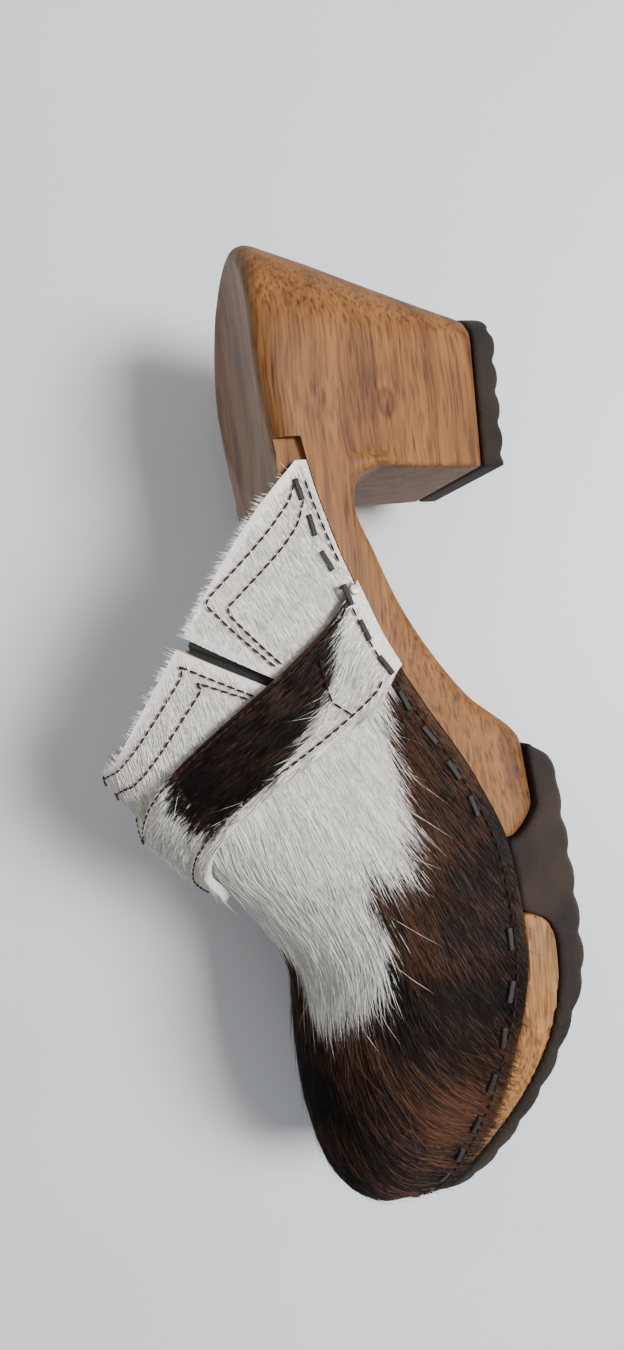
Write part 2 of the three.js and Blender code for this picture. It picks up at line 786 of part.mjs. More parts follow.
// The lateral collar's front edge runs up under the strap to an elbow, and from there along the gore.
function lateralCollar(depths, start, toPlatform) {
  const place = (u, v, depth) => {
    const footX = lerp(start, collarEnd(1), u);
    const topX = lerp(start, goreX, u);
    const footOf = (x) => (toPlatform ? aboveWood(x, LATERAL, depth) : 1);
    const endFoot = footOf(collarEnd(1));
    const endTop = openingAcross(goreX, LATERAL);
    const straight = [lerp(collarEnd(1), goreX, v), lerp(endFoot, endTop, v)];
    const low = Math.min(1, 2 * v);
    const high = Math.max(0, 2 * v - 1);
    const edgeAcross = lerp(lerp(endFoot, elbowAcross, low), endTop, high);
    const edgeX = lerp(collarEnd(lerp(endFoot, elbowAcross, low)) - goreShown * low, goreX, high);
    return [
      lerp(footX, topX, v) + u * (edgeX - straight[0]),
      lerp(footOf(footX), openingAcross(topX, LATERAL), v) + u * (edgeAcross - straight[1]),
    ];
  };
  return sheet(place, 12, 6, depths);
}

// The medial quarter runs from the gore over the instep and down the medial side to its rear tip.
function medialCollar(depths, start, toPlatform) {
  const shares = [0, 0.3, 0.62, 1];
  const topKnots = [goreX + goreShown, peakX, medialTurnX, start];
  const footKnots = [elbowAcross, 0, -1, -1];
  const place = (u, v, depth) => {
    const k = u < shares[1] ? 0 : u < shares[2] ? 1 : 2;
    const t = (u - shares[k]) / (shares[k + 1] - shares[k]);
    const topX = lerp(topKnots[k], topKnots[k + 1], t);
    const side = k === 0 ? LATERAL : MEDIAL;
    const topAcross = side * openingAcross(topX, side);
    let footAcross = lerp(footKnots[k], footKnots[k + 1], t);
    const footX = k === 2 ? lerp(collarEnd(1), start, t) : collarEnd(footAcross);
    if (toPlatform) footAcross = Math.max(footAcross, -aboveWood(footX, MEDIAL, depth));
    return [lerp(footX, topX, v), lerp(footAcross, topAcross, v)];
  };
  return sheet(place, 30, 6, depths);
}

// Elastic under the edges of the two collars, from the opening down to the platform's top.
function makeGore() {
  const place = (u, v) => {
    const shift = goreShown / 2 + lerp(-goreWidth, goreWidth, u) / 2;
    const topX = goreX + shift;
    const footX = collarEnd(elbowAcross) - goreShown + shift;
    return [lerp(footX, topX, v), lerp(elbowAcross + goreTuck, openingAcross(topX, LATERAL) + 0.02, v)];
  };
  return sheet(place, 4, 8, stiffenerDepths);
}

function makeStrap() {
  const place = (u, v) => {
    const across = 1 - 2 * v;
    return [lerp(strapRear(across), strapFront(across), u), across];
  };
  return sheet(place, 5, 2 * wallRows, strapDepths);
}

// ---- Assembly --------------------------------------------------------------------------------
const finish = {
  beech: { color: 0xbe8c5f, roughness: 0.55, metalness: 0 },
  rubber: { color: 0x3c3430, roughness: 0.8, metalness: 0 },
  hide: { color: 0x6b4f3c, roughness: 0.75, metalness: 0 },
  lining: { color: 0xcdb79a, roughness: 0.85, metalness: 0 },
  elastic: { color: 0x101014, roughness: 0.9, metalness: 0 },
  steel: { color: 0x1c1a1a, roughness: 0.4, metalness: 0.6 },
  brass: { color: 0xc8b890, roughness: 0.35, metalness: 0.9 },
};
const materials = Object.fromEntries(
  Object.entries(finish).map(([name, values]) => [name, new THREE.MeshStandardMaterial({ name, ...values })]),
);

const clog = new THREE.Group();
function add(name, solid, material) {
  const { vertProperties, triVerts } = solid.getMesh();
  const geometry = new THREE.BufferGeometry();
  geometry.setAttribute("position", new THREE.BufferAttribute(new Float32Array(vertProperties), 3));
  geometry.setIndex(new THREE.BufferAttribute(triVerts, 1));
  const flat = geometry.toNonIndexed();
  flat.computeVertexNormals();
  const mesh = new THREE.Mesh(flat, materials[material]);
  mesh.name = name;
  clog.add(mesh);
}

add("rear_wood", makeRearWood(), "beech");
add("toe_wood", makeToeWood(), "beech");
add("heel_lift", makeHeelLift(), "rubber");
add("ball_outsole", makeBallOutsole(), "rubber");
add("flex_bridge", makeFlexBridge(), "rubber");
add("toe_outsole", makeToeOutsole(), "rubber");
add("vamp", vampSheet(leatherDepths, false).subtract(allHoles), "hide");
add("vamp_lining", vampSheet(liningDepths, true), "lining");
add("toe_puff", makeToePuff(), "lining");
add("collar_lateral", lateralCollar(leatherDepths, leatherStart, false).subtract(allHoles), "hide");
add("collar_medial", medialCollar(leatherDepths, leatherStart, false).subtract(allHoles), "hide");
add("collar_lateral_lining", lateralCollar(liningDepths, leatherStart + liningSetback, true), "lining");
add("collar_medial_lining", medialCollar(liningDepths, leatherStart + liningSetback, true), "lining");
add("elastic_gore", makeGore(), "elastic");
add("strap", makeStrap().subtract(allHoles), "hide");
for (const { name, geometry, place, kind } of fasteners) {
  add(name, solidOf(geometry, place), kind === "staple" ? "steel" : "brass");
}

// The origin lies on the floor under the middle of the shoe.
const bounds = new THREE.Box3().setFromObject(clog);
const middle = bounds.getCenter(new THREE.Vector3());
clog.position.set(-middle.x, -middle.y, -bounds.min.z);

export default clog;
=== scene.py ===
"""Looks of a wooden clog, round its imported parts: turned wood, moulded rubber, hair-on hide and its sewing."""

import math

import bpy
import numpy as np
from bpy.props import FloatProperty, FloatVectorProperty, IntProperty, PointerProperty
from mathutils import Matrix, Vector
from mathutils.bvhtree import BVHTree


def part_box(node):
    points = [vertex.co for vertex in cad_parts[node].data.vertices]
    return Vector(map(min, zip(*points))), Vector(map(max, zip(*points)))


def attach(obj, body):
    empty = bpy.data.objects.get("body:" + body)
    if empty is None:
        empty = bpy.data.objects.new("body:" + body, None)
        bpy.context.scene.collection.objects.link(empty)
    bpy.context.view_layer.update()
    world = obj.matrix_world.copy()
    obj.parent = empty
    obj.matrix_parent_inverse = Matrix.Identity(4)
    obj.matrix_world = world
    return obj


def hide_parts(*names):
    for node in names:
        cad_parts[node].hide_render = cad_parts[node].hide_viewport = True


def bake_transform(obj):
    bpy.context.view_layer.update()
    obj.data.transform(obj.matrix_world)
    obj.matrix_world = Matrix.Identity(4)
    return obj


bl_info = {
    "name": "Wooden Clog",
    "version": (1, 0, 0),
    "blender": (4, 5, 0),
    "location": "3D View > Sidebar > Clog",
    "description": "Makes a wooden clog with a stapled hair-on upper round its packed parts",
    "category": "Add Mesh",
}

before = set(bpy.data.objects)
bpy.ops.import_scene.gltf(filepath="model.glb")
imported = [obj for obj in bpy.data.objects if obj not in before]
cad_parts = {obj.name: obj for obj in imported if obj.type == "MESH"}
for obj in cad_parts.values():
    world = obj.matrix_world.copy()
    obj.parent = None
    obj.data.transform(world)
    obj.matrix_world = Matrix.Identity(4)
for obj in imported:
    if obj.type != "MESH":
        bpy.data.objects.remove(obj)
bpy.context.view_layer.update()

# Sizes of the shoe in millimetres. Stations run from the back of the seat to the tip of the toe.
GAP = 0.3
SOLE_LENGTH = 247
SEAT_BACK = 2
HEEL_ROUND = 34
HEEL_HALF = (31.5, 31)
WAIST_X = 88
WAIST_HALF = (32.5, 28.5)
TOE_START = 178
BALL_HALF = (46.5, 45)
TIP_SHIFT = -11
SEAT_HEIGHT = 61
SEAT_EDGE = 4.5
BALL_TOP = 25
LIFT = 6
WOOD_BASE = 8.3
ARCH_HEIGHT = 41
TOE_LIFT = 17
INSTEP = 101
TOE_BOX = 57
HEEL_BACK_FOOT = 23
BREAST_X = 64
HEEL_FOOT_HALF = 24
REAR_WOOD_END = 150.4
TOE_WOOD_START = 166.8
TREAD_START = 130
LEATHER = 2
REBATE_START = 57
LEATHER_START = 62.5
OVERLAP = 10
REBATE_DEPTH = LEATHER + 2 * GAP
WALL_SHARE = 0.85
SPINE_LEAD = 14
STRAP_FOOT = (90.5, 110)
STRAP_RIDGE = (147, 162)
STRAP_CROWN = 0.16
STRAP_SWEEP = 1.1
STRAP_UNDER = 1.2
STRAP_TOP = 3.2
SEAM = 1.5
GORE_WIDTH = 16
GORE_SHOWN = 2.6
GORE_X = 99.5
ELBOW = 0.7
GORE_TUCK = 0.06
LINING_DEPTH = 4
LINING_SETBACK = 9
MEDIAL_TURN_X = 100
PEAK_X = 131
MEDIAL_DIP = 9
CAVITY_HEIGHT = 30
TUFT = 2.6
TREAD_RIBS = (8.6, 1.1)  # distance and depth
LIFT_RIBS = (7.6, 1.2)
PROUD = 0.5  # how far the rubber stands out past the wood
STAPLE = (5.0, 0.8, 1.2)  # the crown's length, thickness and width
STAPLE_RISE = 4  # above the leather's edge
STAPLE_SPAN = (69.2, 142.6)  # stations of a side's first and last staple
FRINGE = 2.6
STITCH_FILL = 0.9  # share of the pitch that a stitch covers
BALL_BACK_X = 155
TOE_RUN = SOLE_LENGTH - TOE_START
TOE_TOP = BALL_TOP + 13
POLE_X = TOE_START + SPINE_LEAD
LATERAL, MEDIAL = 1, -1

lift_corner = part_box("heel_lift")[1]
ORIGIN = np.array([BREAST_X - 1000 * lift_corner.x, HEEL_FOOT_HALF - 1000 * lift_corner.y, 0.0])


# ---- Curves ----------------------------------------------------------------------------------
def lerp(a, b, t):
    return a + (b - a) * t


def smooth(low, high, x):
    t = np.clip((x - low) / (high - low), 0, 1)
    return t * t * (3 - 2 * t)


def profile(*knots):
    """A curve through knots that never overshoots them."""
    xs, ys = np.array(knots, float).T
    step = np.diff(ys) / np.diff(xs)
    slope = np.empty(len(xs))
    slope[0], slope[-1] = step[0], step[-1]
    for i in range(1, len(xs) - 1):
        a, b = step[i - 1], step[i]
        slope[i] = 0 if a * b <= 0 else 2 * a * b / (a + b)

    def curve(x):
        x = np.asarray(x, float)
        i = np.searchsorted(xs[1:-1], x)
        width = xs[i + 1] - xs[i]
        t = np.clip((x - xs[i]) / width, 0, 1)
        y = lerp(ys[i], ys[i + 1], t * t * (3 - 2 * t))
        y = y + width * (slope[i] * t * (1 - t) ** 2 - slope[i + 1] * t * t * (1 - t))
        return y + np.where(x < xs[0], slope[0] * (x - xs[0]), 0)

    return curve


wood_top = profile(
    (SEAT_BACK, SEAT_HEIGHT), (30, SEAT_HEIGHT + 0.5), (62, SEAT_HEIGHT - 2.5), (80, SEAT_HEIGHT - 6),
    (99, SEAT_HEIGHT - 11), (117, lerp(SEAT_HEIGHT, BALL_TOP, 0.54)), (137, lerp(SEAT_HEIGHT, BALL_TOP, 0.83)),
    (BALL_BACK_X, BALL_TOP + 0.7), (172, BALL_TOP), (TOE_START + 0.37 * TOE_RUN, lerp(BALL_TOP, TOE_TOP, 0.38)),
    (TOE_START + 0.76 * TOE_RUN, lerp(BALL_TOP, TOE_TOP, 0.82)), (SOLE_LENGTH, TOE_TOP),
)
arch_bottom = profile(
    (BREAST_X - 2, ARCH_HEIGHT - 11), (BREAST_X + 0.2, ARCH_HEIGHT - 6), (BREAST_X + 2.2, ARCH_HEIGHT - 1.8),
    (BREAST_X + 8, ARCH_HEIGHT), (84, lerp(ARCH_HEIGHT, WOOD_BASE, 0.12)),
    (95, lerp(ARCH_HEIGHT, WOOD_BASE, 0.25)), (106, lerp(ARCH_HEIGHT, WOOD_BASE, 0.42)),
    (118, lerp(ARCH_HEIGHT, WOOD_BASE, 0.66)),
    (TREAD_START, WOOD_BASE), (143, WOOD_BASE), (147.5, WOOD_BASE + 2.6), (REAR_WOOD_END, WOOD_BASE + 6),
)
toe_bottom = profile(
    (TOE_WOOD_START, WOOD_BASE + 5.5), (TOE_WOOD_START + 2.2, WOOD_BASE + 1.6), (TOE_WOOD_START + 7, WOOD_BASE),
    (TOE_START + 2, WOOD_BASE + 0.1), (TOE_START + 0.23 * TOE_RUN, WOOD_BASE + 0.14 * TOE_LIFT),
    (TOE_START + 0.42 * TOE_RUN, WOOD_BASE + 0.42 * TOE_LIFT),
    (TOE_START + 0.6 * TOE_RUN, WOOD_BASE + 0.76 * TOE_LIFT),
    (TOE_START + 0.78 * TOE_RUN, WOOD_BASE + 1.04 * TOE_LIFT), (SOLE_LENGTH, WOOD_BASE + 1.2 * TOE_LIFT),
)
tread_bottom = profile(
    (TREAD_START, WOOD_BASE - 1.2), (TREAD_START + 4, 1), (TREAD_START + 8, 0), (TOE_START, 0),
    (TOE_START + 0.3 * TOE_RUN, 0.33 * TOE_LIFT), (TOE_START + 0.6 * TOE_RUN, 0.82 * TOE_LIFT),
    (SOLE_LENGTH, 1.38 * TOE_LIFT),
)
overlap_at = profile(
    (REBATE_START, 6), (80, OVERLAP - 2.5), (99, OVERLAP - 0.5), (TOE_START, OVERLAP - 0.6),
    (SOLE_LENGTH, OVERLAP - 2.5),
)
crest = profile(
    (REBATE_START, INSTEP + 17), (80, INSTEP + 15), (100, INSTEP + 11), (120, INSTEP + 5), (PEAK_X, INSTEP),
    (147, lerp(INSTEP, TOE_BOX, 0.28)), (155, lerp(INSTEP, TOE_BOX, 0.46)), (162, lerp(INSTEP, TOE_BOX, 0.64)),
    (173, lerp(INSTEP, TOE_BOX, 0.82)), (184, lerp(INSTEP, TOE_BOX, 0.96)), (POLE_X, TOE_BOX),
)


def leather_edge(x):
    return wood_top(x) - overlap_at(x)


opening = profile(
    (LEATHER_START, float(leather_edge(LEATHER_START)) + 2.5), (73, lerp(SEAT_HEIGHT, INSTEP, 0.08)),
    (85, lerp(SEAT_HEIGHT, INSTEP, 0.3)), (96, lerp(SEAT_HEIGHT, INSTEP, 0.47)),
    (114, lerp(SEAT_HEIGHT, INSTEP, 0.75)), (PEAK_X, INSTEP),
)
wall_handle = profile((REBATE_START, 0.34), (100, 0.36), (150, 0.5), (TOE_START, 0.62), (SOLE_LENGTH, 0.85))
top_handle = profile((REBATE_START, 0.38), (100, 0.38), (TOE_START, 0.5), (SOLE_LENGTH, 0.55))
wall_lean = profile((REBATE_START, 2), (100, 3.5), (150, 1.5), (TOE_START, 0), (SOLE_LENGTH, -2.5))


# ---- The shoe's outline and upper ------------------------------------------------------------
def by_side(pair, side):
    return np.where(side > 0, pair[0], pair[1])


def half_width(x, side):
    waist = by_side(WAIST_HALF, side)
    seat = lerp(by_side(HEEL_HALF, side), waist, smooth(HEEL_ROUND, WAIST_X, x))
    back = np.clip((HEEL_ROUND - x) / (HEEL_ROUND - SEAT_BACK), 0, 1)
    front = lerp(waist, by_side(BALL_HALF, side), smooth(WAIST_X, TOE_START, x))
    return np.where(x < WAIST_X, seat * np.sqrt(1 - back * back), front)


def outline(station, side, inset=0.0):
    """x, y and outward normal of the sole's outline, moved inwards by inset."""
    station, side, inset = np.broadcast_arrays(np.asarray(station, float), side, inset)
    toe = station > TOE_START
    turn = np.clip((station - TOE_START) / TOE_RUN, 0, 1) * np.pi / 2
    half = by_side(BALL_HALF, side)
    x = np.where(toe, TOE_START + TOE_RUN * np.sin(turn), station)
    round_y = side * half * np.cos(turn) + TIP_SHIFT * np.sin(turn) ** 2
    y = np.where(toe, round_y, side * half_width(station, side))
    dx = np.where(toe, TOE_RUN * np.cos(turn), 1.0)
    spread = (half_width(station + 0.01, side) - half_width(station - 0.01, side)) * 50
    dy = np.where(toe, -side * half * np.sin(turn) + TIP_SHIFT * np.sin(2 * turn), side * spread)
    length = np.hypot(dx, dy)
    nx, ny = -side * dy / length, side * dx / length
    px = np.where(toe, x - inset * nx, x)
    py = np.where(toe, y - inset * ny, y - side * inset * length / np.where(toe, 1, dx))
    return px, py, nx, ny


def upper(station, across, depth=0.0):
    """Points of the upper. Across runs from 1 (lateral edge) over 0 (crest) to -1; depth goes inwards."""
    station, across, depth = np.broadcast_arrays(np.asarray(station, float), across, depth)
    side = np.where(across >= 0, 1.0, -1.0)
    ex, ey, nx, ny = outline(station, side, depth)
    ox = outline(station, side)[0]
    edge_z, wall_z = leather_edge(ox), wood_top(ox)
    ease = smooth(BALL_BACK_X, TOE_START, station)
    sx = np.minimum(station, TOE_START) + SPINE_LEAD * ease
    slope = (crest(sx + 0.5) - crest(sx - 0.5)) * (sx < POLE_X - 0.5)
    sy = TIP_SHIFT * 0.4 * ease
    sz = crest(sx) - depth * np.hypot(1, slope)
    share, reach, lean = np.abs(across), top_handle(station), wall_lean(station)
    rise = wall_handle(station) * (sz - wall_z)
    crown = smooth(TOE_START, SOLE_LENGTH, station)
    t = np.clip(share / WALL_SHARE, 0, 1)[..., None]
    a = np.stack([sx, sy, sz], -1)
    b = np.stack([lerp(sx, ex, reach), lerp(sy, ey, reach), sz + crown], -1)
    c = np.stack([ex - lean * nx, ey - lean * ny, wall_z + rise], -1)
    d = np.stack([ex, ey, wall_z], -1)
    bow = (1 - t) ** 3 * a + 3 * (1 - t) ** 2 * t * b + 3 * (1 - t) * t * t * c + t**3 * d
    wall = np.stack([ex, ey, lerp(wall_z, edge_z, (share - WALL_SHARE) / (1 - WALL_SHARE))], -1)
    return np.where((share > WALL_SHARE)[..., None], wall, bow)


def across_at_height(station, side, depth, height):
    low, high = np.zeros(np.shape(station)), np.ones(np.shape(station))
    for _ in range(24):
        middle = (low + high) / 2
        above = upper(station, side * middle, depth)[..., 2] > height
        low, high = np.where(above, middle, low), np.where(above, high, middle)
    return (low + high) / 2


def strap_sweep(across):
    def spread(value):
        return np.hypot(value, STRAP_CROWN) - STRAP_CROWN

    return np.maximum(0, 1 - spread(across) / spread(1.0)) ** STRAP_SWEEP


def strap_rear(across):
    return lerp(STRAP_FOOT[0], STRAP_RIDGE[0], strap_sweep(across))


def strap_front(across):
    return lerp(STRAP_FOOT[1], STRAP_RIDGE[1], strap_sweep(across))


def vamp_start(across):
    return (strap_rear(across) + strap_front(across) + SEAM) / 2


def collar_end(across):
    return (strap_rear(across) + strap_front(across) - SEAM) / 2


def opening_across(x, side):
    x = np.asarray(x, float)
    low = MEDIAL_DIP * smooth(LEATHER_START, 80, x) * (1 - smooth(105, PEAK_X, x)) * (np.asarray(side) < 0)
    found = across_at_height(x, side, 0, np.minimum(opening(x) - low, crest(x) - 0.01))
    return np.where(x >= PEAK_X, 0, found)


def above_wood(station, side, depth):
    return across_at_height(station, side, depth, wood_top(outline(station, side)[0]) + GAP)


# ---- Where u and v, from 0 to 1, lie on each piece of the upper: station and across ----------
def vamp_place(u, v, to_wood=False, depth=0.0):
    turned = 1 - 2 * v
    start = vamp_start(turned * (WALL_SHARE if to_wood else 1))
    rear = 0.45
    station = np.where(
        u <= rear, lerp(start, TOE_START, u / rear), lerp(TOE_START, SOLE_LENGTH, (u - rear) / (1 - rear))
    )
    if not to_wood:
        return station, turned
    return station, turned * above_wood(station, np.where(turned >= 0, 1.0, -1.0), depth)


def lateral_place(u, v, start=LEATHER_START, to_wood=False, depth=0.0):
    foot_x, top_x = lerp(start, collar_end(1.0), u), lerp(start, GORE_X, u)
    foot = above_wood(foot_x, 1.0, depth) if to_wood else np.ones(np.shape(u))
    end_foot = float(above_wood(np.array(collar_end(1.0)), 1.0, depth)) if to_wood else 1.0
    end_top = float(opening_across(np.array(GORE_X), 1.0))
    low, high = np.minimum(1, 2 * v), np.maximum(0, 2 * v - 1)
    bent = lerp(end_foot, ELBOW, low)
    edge_across = lerp(bent, end_top, high)
    edge_x = lerp(collar_end(bent) - GORE_SHOWN * low, GORE_X, high)
    station = lerp(foot_x, top_x, v) + u * (edge_x - lerp(collar_end(1.0), GORE_X, v))
    across = lerp(foot, opening_across(top_x, 1.0), v) + u * (edge_across - lerp(end_foot, end_top, v))
    return station, across


def medial_place(u, v, start=LEATHER_START, to_wood=False, depth=0.0):
    shares = np.array([0, 0.3, 0.62, 1])
    tops = np.array([GORE_X + GORE_SHOWN, PEAK_X, MEDIAL_TURN_X, start])
    feet = np.array([ELBOW, 0, -1, -1])
    k = np.clip(np.searchsorted(shares, u, side="right") - 1, 0, 2)
    t = (u - shares[k]) / (shares[k + 1] - shares[k])
    top_x = lerp(tops[k], tops[k + 1], t)
    side = np.where(k == 0, 1.0, -1.0)
    top = side * opening_across(top_x, side)
    foot = lerp(feet[k], feet[k + 1], t)
    foot_x = np.where(k == 2, lerp(collar_end(1.0), start, t), collar_end(foot))
    if to_wood:
        foot = np.maximum(foot, -above_wood(foot_x, -1.0, depth))
    return lerp(foot_x, top_x, v), lerp(foot, top, v)


def gore_place(u, v):
    shift = GORE_SHOWN / 2 + (u - 0.5) * GORE_WIDTH
    top_x = GORE_X + shift
    foot_x = collar_end(ELBOW) - GORE_SHOWN + shift
    return lerp(foot_x, top_x, v), lerp(ELBOW + GORE_TUCK, opening_across(top_x, 1.0) + 0.02, v)


def strap_place(u, v):
    across = 1 - 2 * v
    return lerp(strap_rear(across), strap_front(across), u), across


# ---- Noise and markings of the hide ----------------------------------------------------------
def mottle(points, scale, seed=0):
    """Smooth noise from 0 to 1."""
    p = np.asarray(points, float) / scale + 512
    cell = np.floor(p).astype(np.int64)
    t = p - cell
    t = t * t * (3 - 2 * t)
    total = np.zeros(p.shape[:-1])
    for corner in np.ndindex(2, 2, 2):
        key = cell + np.array(corner)
        mixed = key[..., 0] * 374761393 + key[..., 1] * 668265263 + key[..., 2] * 2147483647 + seed * 144665
        mixed = ((mixed ^ (mixed >> 13)) * 1274126177) & 0xFFFFFFFF
        weight = np.prod(np.where(corner, t, 1 - t), axis=-1)
        total += weight * ((mixed ^ (mixed >> 16)) & 0xFFFF) / 65535
    return total


# How far forward the vamp's white reaches, by the across value.
white_reach = profile(
    (-1, 112), (-0.6, 138), (-0.2, 158), (0, 166), (0.12, 174), (0.3, 181), (0.42, 178), (0.5, 172),
    (0.56, 163), (0.62, 156), (0.7, 151), (0.75, 142), (0.79, 130), (0.83, 119), (0.9, 112), (1, 104),
)
# How much of the strap's width the dark patch covers, by the across value.
patch_width = profile(
    (0.34, 0.8), (0.4, 0.9), (0.52, 0.88), (0.61, 0.86), (0.68, 0.78), (0.73, 0.64), (0.79, 0.5), (0.84, 0.35),
    (0.9, 0.2), (1, -0.1),
)


def vamp_marking(station, across, u, points):
    """Shares of white, and of brown in what isn't white, at each point of the vamp."""
    wander = 9 * (mottle(points, 7, 3) - 0.5) + 5 * (mottle(points, 2.5, 4) - 0.5)
    white = (station < white_reach(across) + wander).astype(float)
    warm = 0.55 * smooth(0.35, 0.75, mottle(points, 13, 5)) + 0.35 * smooth(0.5, 0.8, mottle(points, 5, 6))
    warm = warm + 0.5 * smooth(16, 4, np.hypot(station - 124, 55 * (across - 0.93)))
    warm = warm + 0.4 * smooth(22, 6, np.hypot(station - 200, 55 * (across - 0.78)))
    return white, np.clip(warm, 0, 1)


def strap_marking(station, across, u, points):
    wander = 0.22 * (mottle(points, 4, 8) - 0.5)
    dark = (u < patch_width(across) + wander) & (across > 0.375 + 0.4 * wander)
    warm = 0.28 * smooth(0.4, 0.8, mottle(points, 6, 9)) + 0.4 * smooth(0.25, 0, u)
    return 1 - dark, np.clip(warm, 0, 1)


def collar_marking(station, across, u, points):
    return np.ones(len(points)), 0.3 * np.ones(len(points))


def hide_colours(marking, count, rng, spread):
    settings = bpy.context.scene.clog_colours
    white, warm = marking
    pale = np.array(settings.pale)[None] * (1 + spread * rng.normal(0, 0.13, (count, 1)))
    pale = pale * (1 - 0.12 * rng.random((count, 1)) * np.array([0.3, 0.8, 1.6]))
    dark = np.array(settings.dark)[None] * (1 + spread * rng.normal(0, 0.35, (count, 1)))
    brown = np.array(settings.brown)[None] * (1 + spread * rng.normal(0, 0.3, (count, 1)))
    red = (rng.random(count) < warm) if spread else warm
    mixed = lerp(dark, brown, np.asarray(red, float)[:, None])
    return np.clip(lerp(mixed, pale, white[:, None]), 0.002, 1)


# ---- Making pieces ---------------------------------------------------------------------------
def row(points):
    return (np.asarray(points, float) - ORIGIN) / 1000


def only(piece):
    bpy.ops.object.select_all(action="DESELECT")
    piece.select_set(True)
    bpy.context.view_layer.objects.active = piece
    return piece


def points_of(piece):
    found = np.empty(len(piece.data.vertices) * 3)
    piece.data.vertices.foreach_get("co", found)
    return found.reshape(-1, 3)


def move_points(piece, points):
    piece.data.vertices.foreach_set("co", np.asarray(points, float).ravel())
    piece.data.update()


def named(piece, name):
    piece.name = piece.data.name = name
    return piece


def grid(name, columns, rows, place):
    """A grid whose vertices lie where place puts their u and v."""
    bpy.ops.object.select_all(action="DESELECT")
    bpy.ops.mesh.primitive_grid_add(x_subdivisions=columns, y_subdivisions=rows, size=1)
    piece = named(bpy.context.object, name)
    u, v = (points_of(piece)[:, :2] + 0.5).clip(0, 1).T
    move_points(piece, row(place(u, v)))
    return piece


def edit(piece, *steps):
    """Runs steps in edit mode on all of the piece."""
    only(piece)
    bpy.ops.object.mode_set(mode="EDIT")
    bpy.ops.mesh.select_all(action="SELECT")
    for step in steps:
        step()
    bpy.ops.object.mode_set(mode="OBJECT")
    return piece


def weld():
    bpy.ops.mesh.remove_doubles(threshold=1e-5)


def face_out():
    bpy.ops.mesh.normals_make_consistent(inside=False)


def modify(piece, kind, **settings):
    only(piece)
    bpy.ops.object.modifier_add(type=kind)
    modifier = piece.modifiers[-1]
    for key, value in settings.items():
        setattr(modifier, key, value)
    bpy.ops.object.modifier_apply(modifier=modifier.name)
    return piece


def round_off(piece, voxel, passes):
    """Joins a piece's overlapping solids into one skin and softens its edges."""
    modify(piece, "REMESH", mode="VOXEL", voxel_size=voxel / 1000)
    modify(piece, "SMOOTH", factor=0.5, iterations=passes)
    return piece


def combine(piece, other, operation):
    modify(piece, "BOOLEAN", operation=operation, object=other, solver="EXACT")
    bpy.data.objects.remove(other, do_unlink=True)
    return piece


def loft(name, rings):
    """A solid through rings of points, closed at both ends."""
    rings = np.asarray(rings, float)
    count, round_count = rings.shape[:2]

    def place(u, v):
        return rings[np.rint(u * (count - 1)).astype(int), np.rint(v * round_count).astype(int) % round_count]

    def close():
        bpy.ops.mesh.select_all(action="DESELECT")
        bpy.ops.mesh.select_non_manifold()
        bpy.ops.mesh.fill_holes(sides=0)
        bpy.ops.mesh.select_all(action="SELECT")

    return edit(grid(name, count - 1, round_count, place), weld, close, face_out)


def section_rings(places, corners):
    """Rings along the shoe from each side's corners, which are pairs of inset and height from the top down."""
    rings = []
    for station in places:
        ring = []
        for side in (LATERAL, MEDIAL):
            points = []
            for inset, height in corners(station, side):
                x, y = outline(station, side, inset)[:2]
                points.append((float(x), float(y), float(height)))
            ring += points if side == LATERAL else points[::-1]
        rings.append(ring)
    return rings


def rounded_corner(inset, height, radius, steps=5):
    """A rounded lower edge, from the wall to the underside."""
    turns = np.linspace(0, math.pi / 2, steps)
    return [(inset + radius * (1 - math.cos(t)), height + radius * (1 - math.sin(t))) for t in turns]


def shade_smooth(piece, angle=180):
    """Smooth shading, save at edges sharper than the angle in degrees."""
    only(piece)
    if angle < 180:
        bpy.ops.object.shade_smooth_by_angle(angle=math.radians(angle))
    else:
        bpy.ops.object.shade_smooth()


def sheet_from(piece, thickness, rim=None):
    """Gives a single skin its thickness, inwards."""
    slots = {} if rim is None else {"material_offset_rim": rim}
    modify(piece, "SOLIDIFY", thickness=thickness / 1000, offset=-1, use_even_offset=True, **slots)
    shade_smooth(piece, 50)
    return piece


def outward(piece):
    """Turns a single skin's faces away from the shoe's middle."""
    middle = points_of(piece).mean(0)
    facing = 0
    for face in piece.data.polygons:
        inside = Vector((lerp(face.center.x, middle[0], 0.2), 0, CAVITY_HEIGHT / 1000))
        facing += face.normal.dot(face.center - inside) * face.area
    if facing < 0:
        piece.data.flip_normals()
    return piece


def paint(piece, *materials):
    piece.data.materials.clear()
    for material in materials:
        piece.data.materials.append(material)
    return piece


def tint(piece, colours):
    """Stores a colour at each vertex."""
    layer = piece.data.attributes.new("tone", "FLOAT_COLOR", "POINT")
    filled = np.ones((len(colours), 4))
    filled[:, :3] = colours
    layer.data.foreach_set("color", filled.ravel())


def settle(piece, slot, body, *nodes):
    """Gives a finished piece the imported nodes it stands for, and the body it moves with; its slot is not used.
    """
    if nodes:
        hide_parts(*nodes)
    if body != "both":
        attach(piece, body)
        return piece
    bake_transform(piece)
    return piece


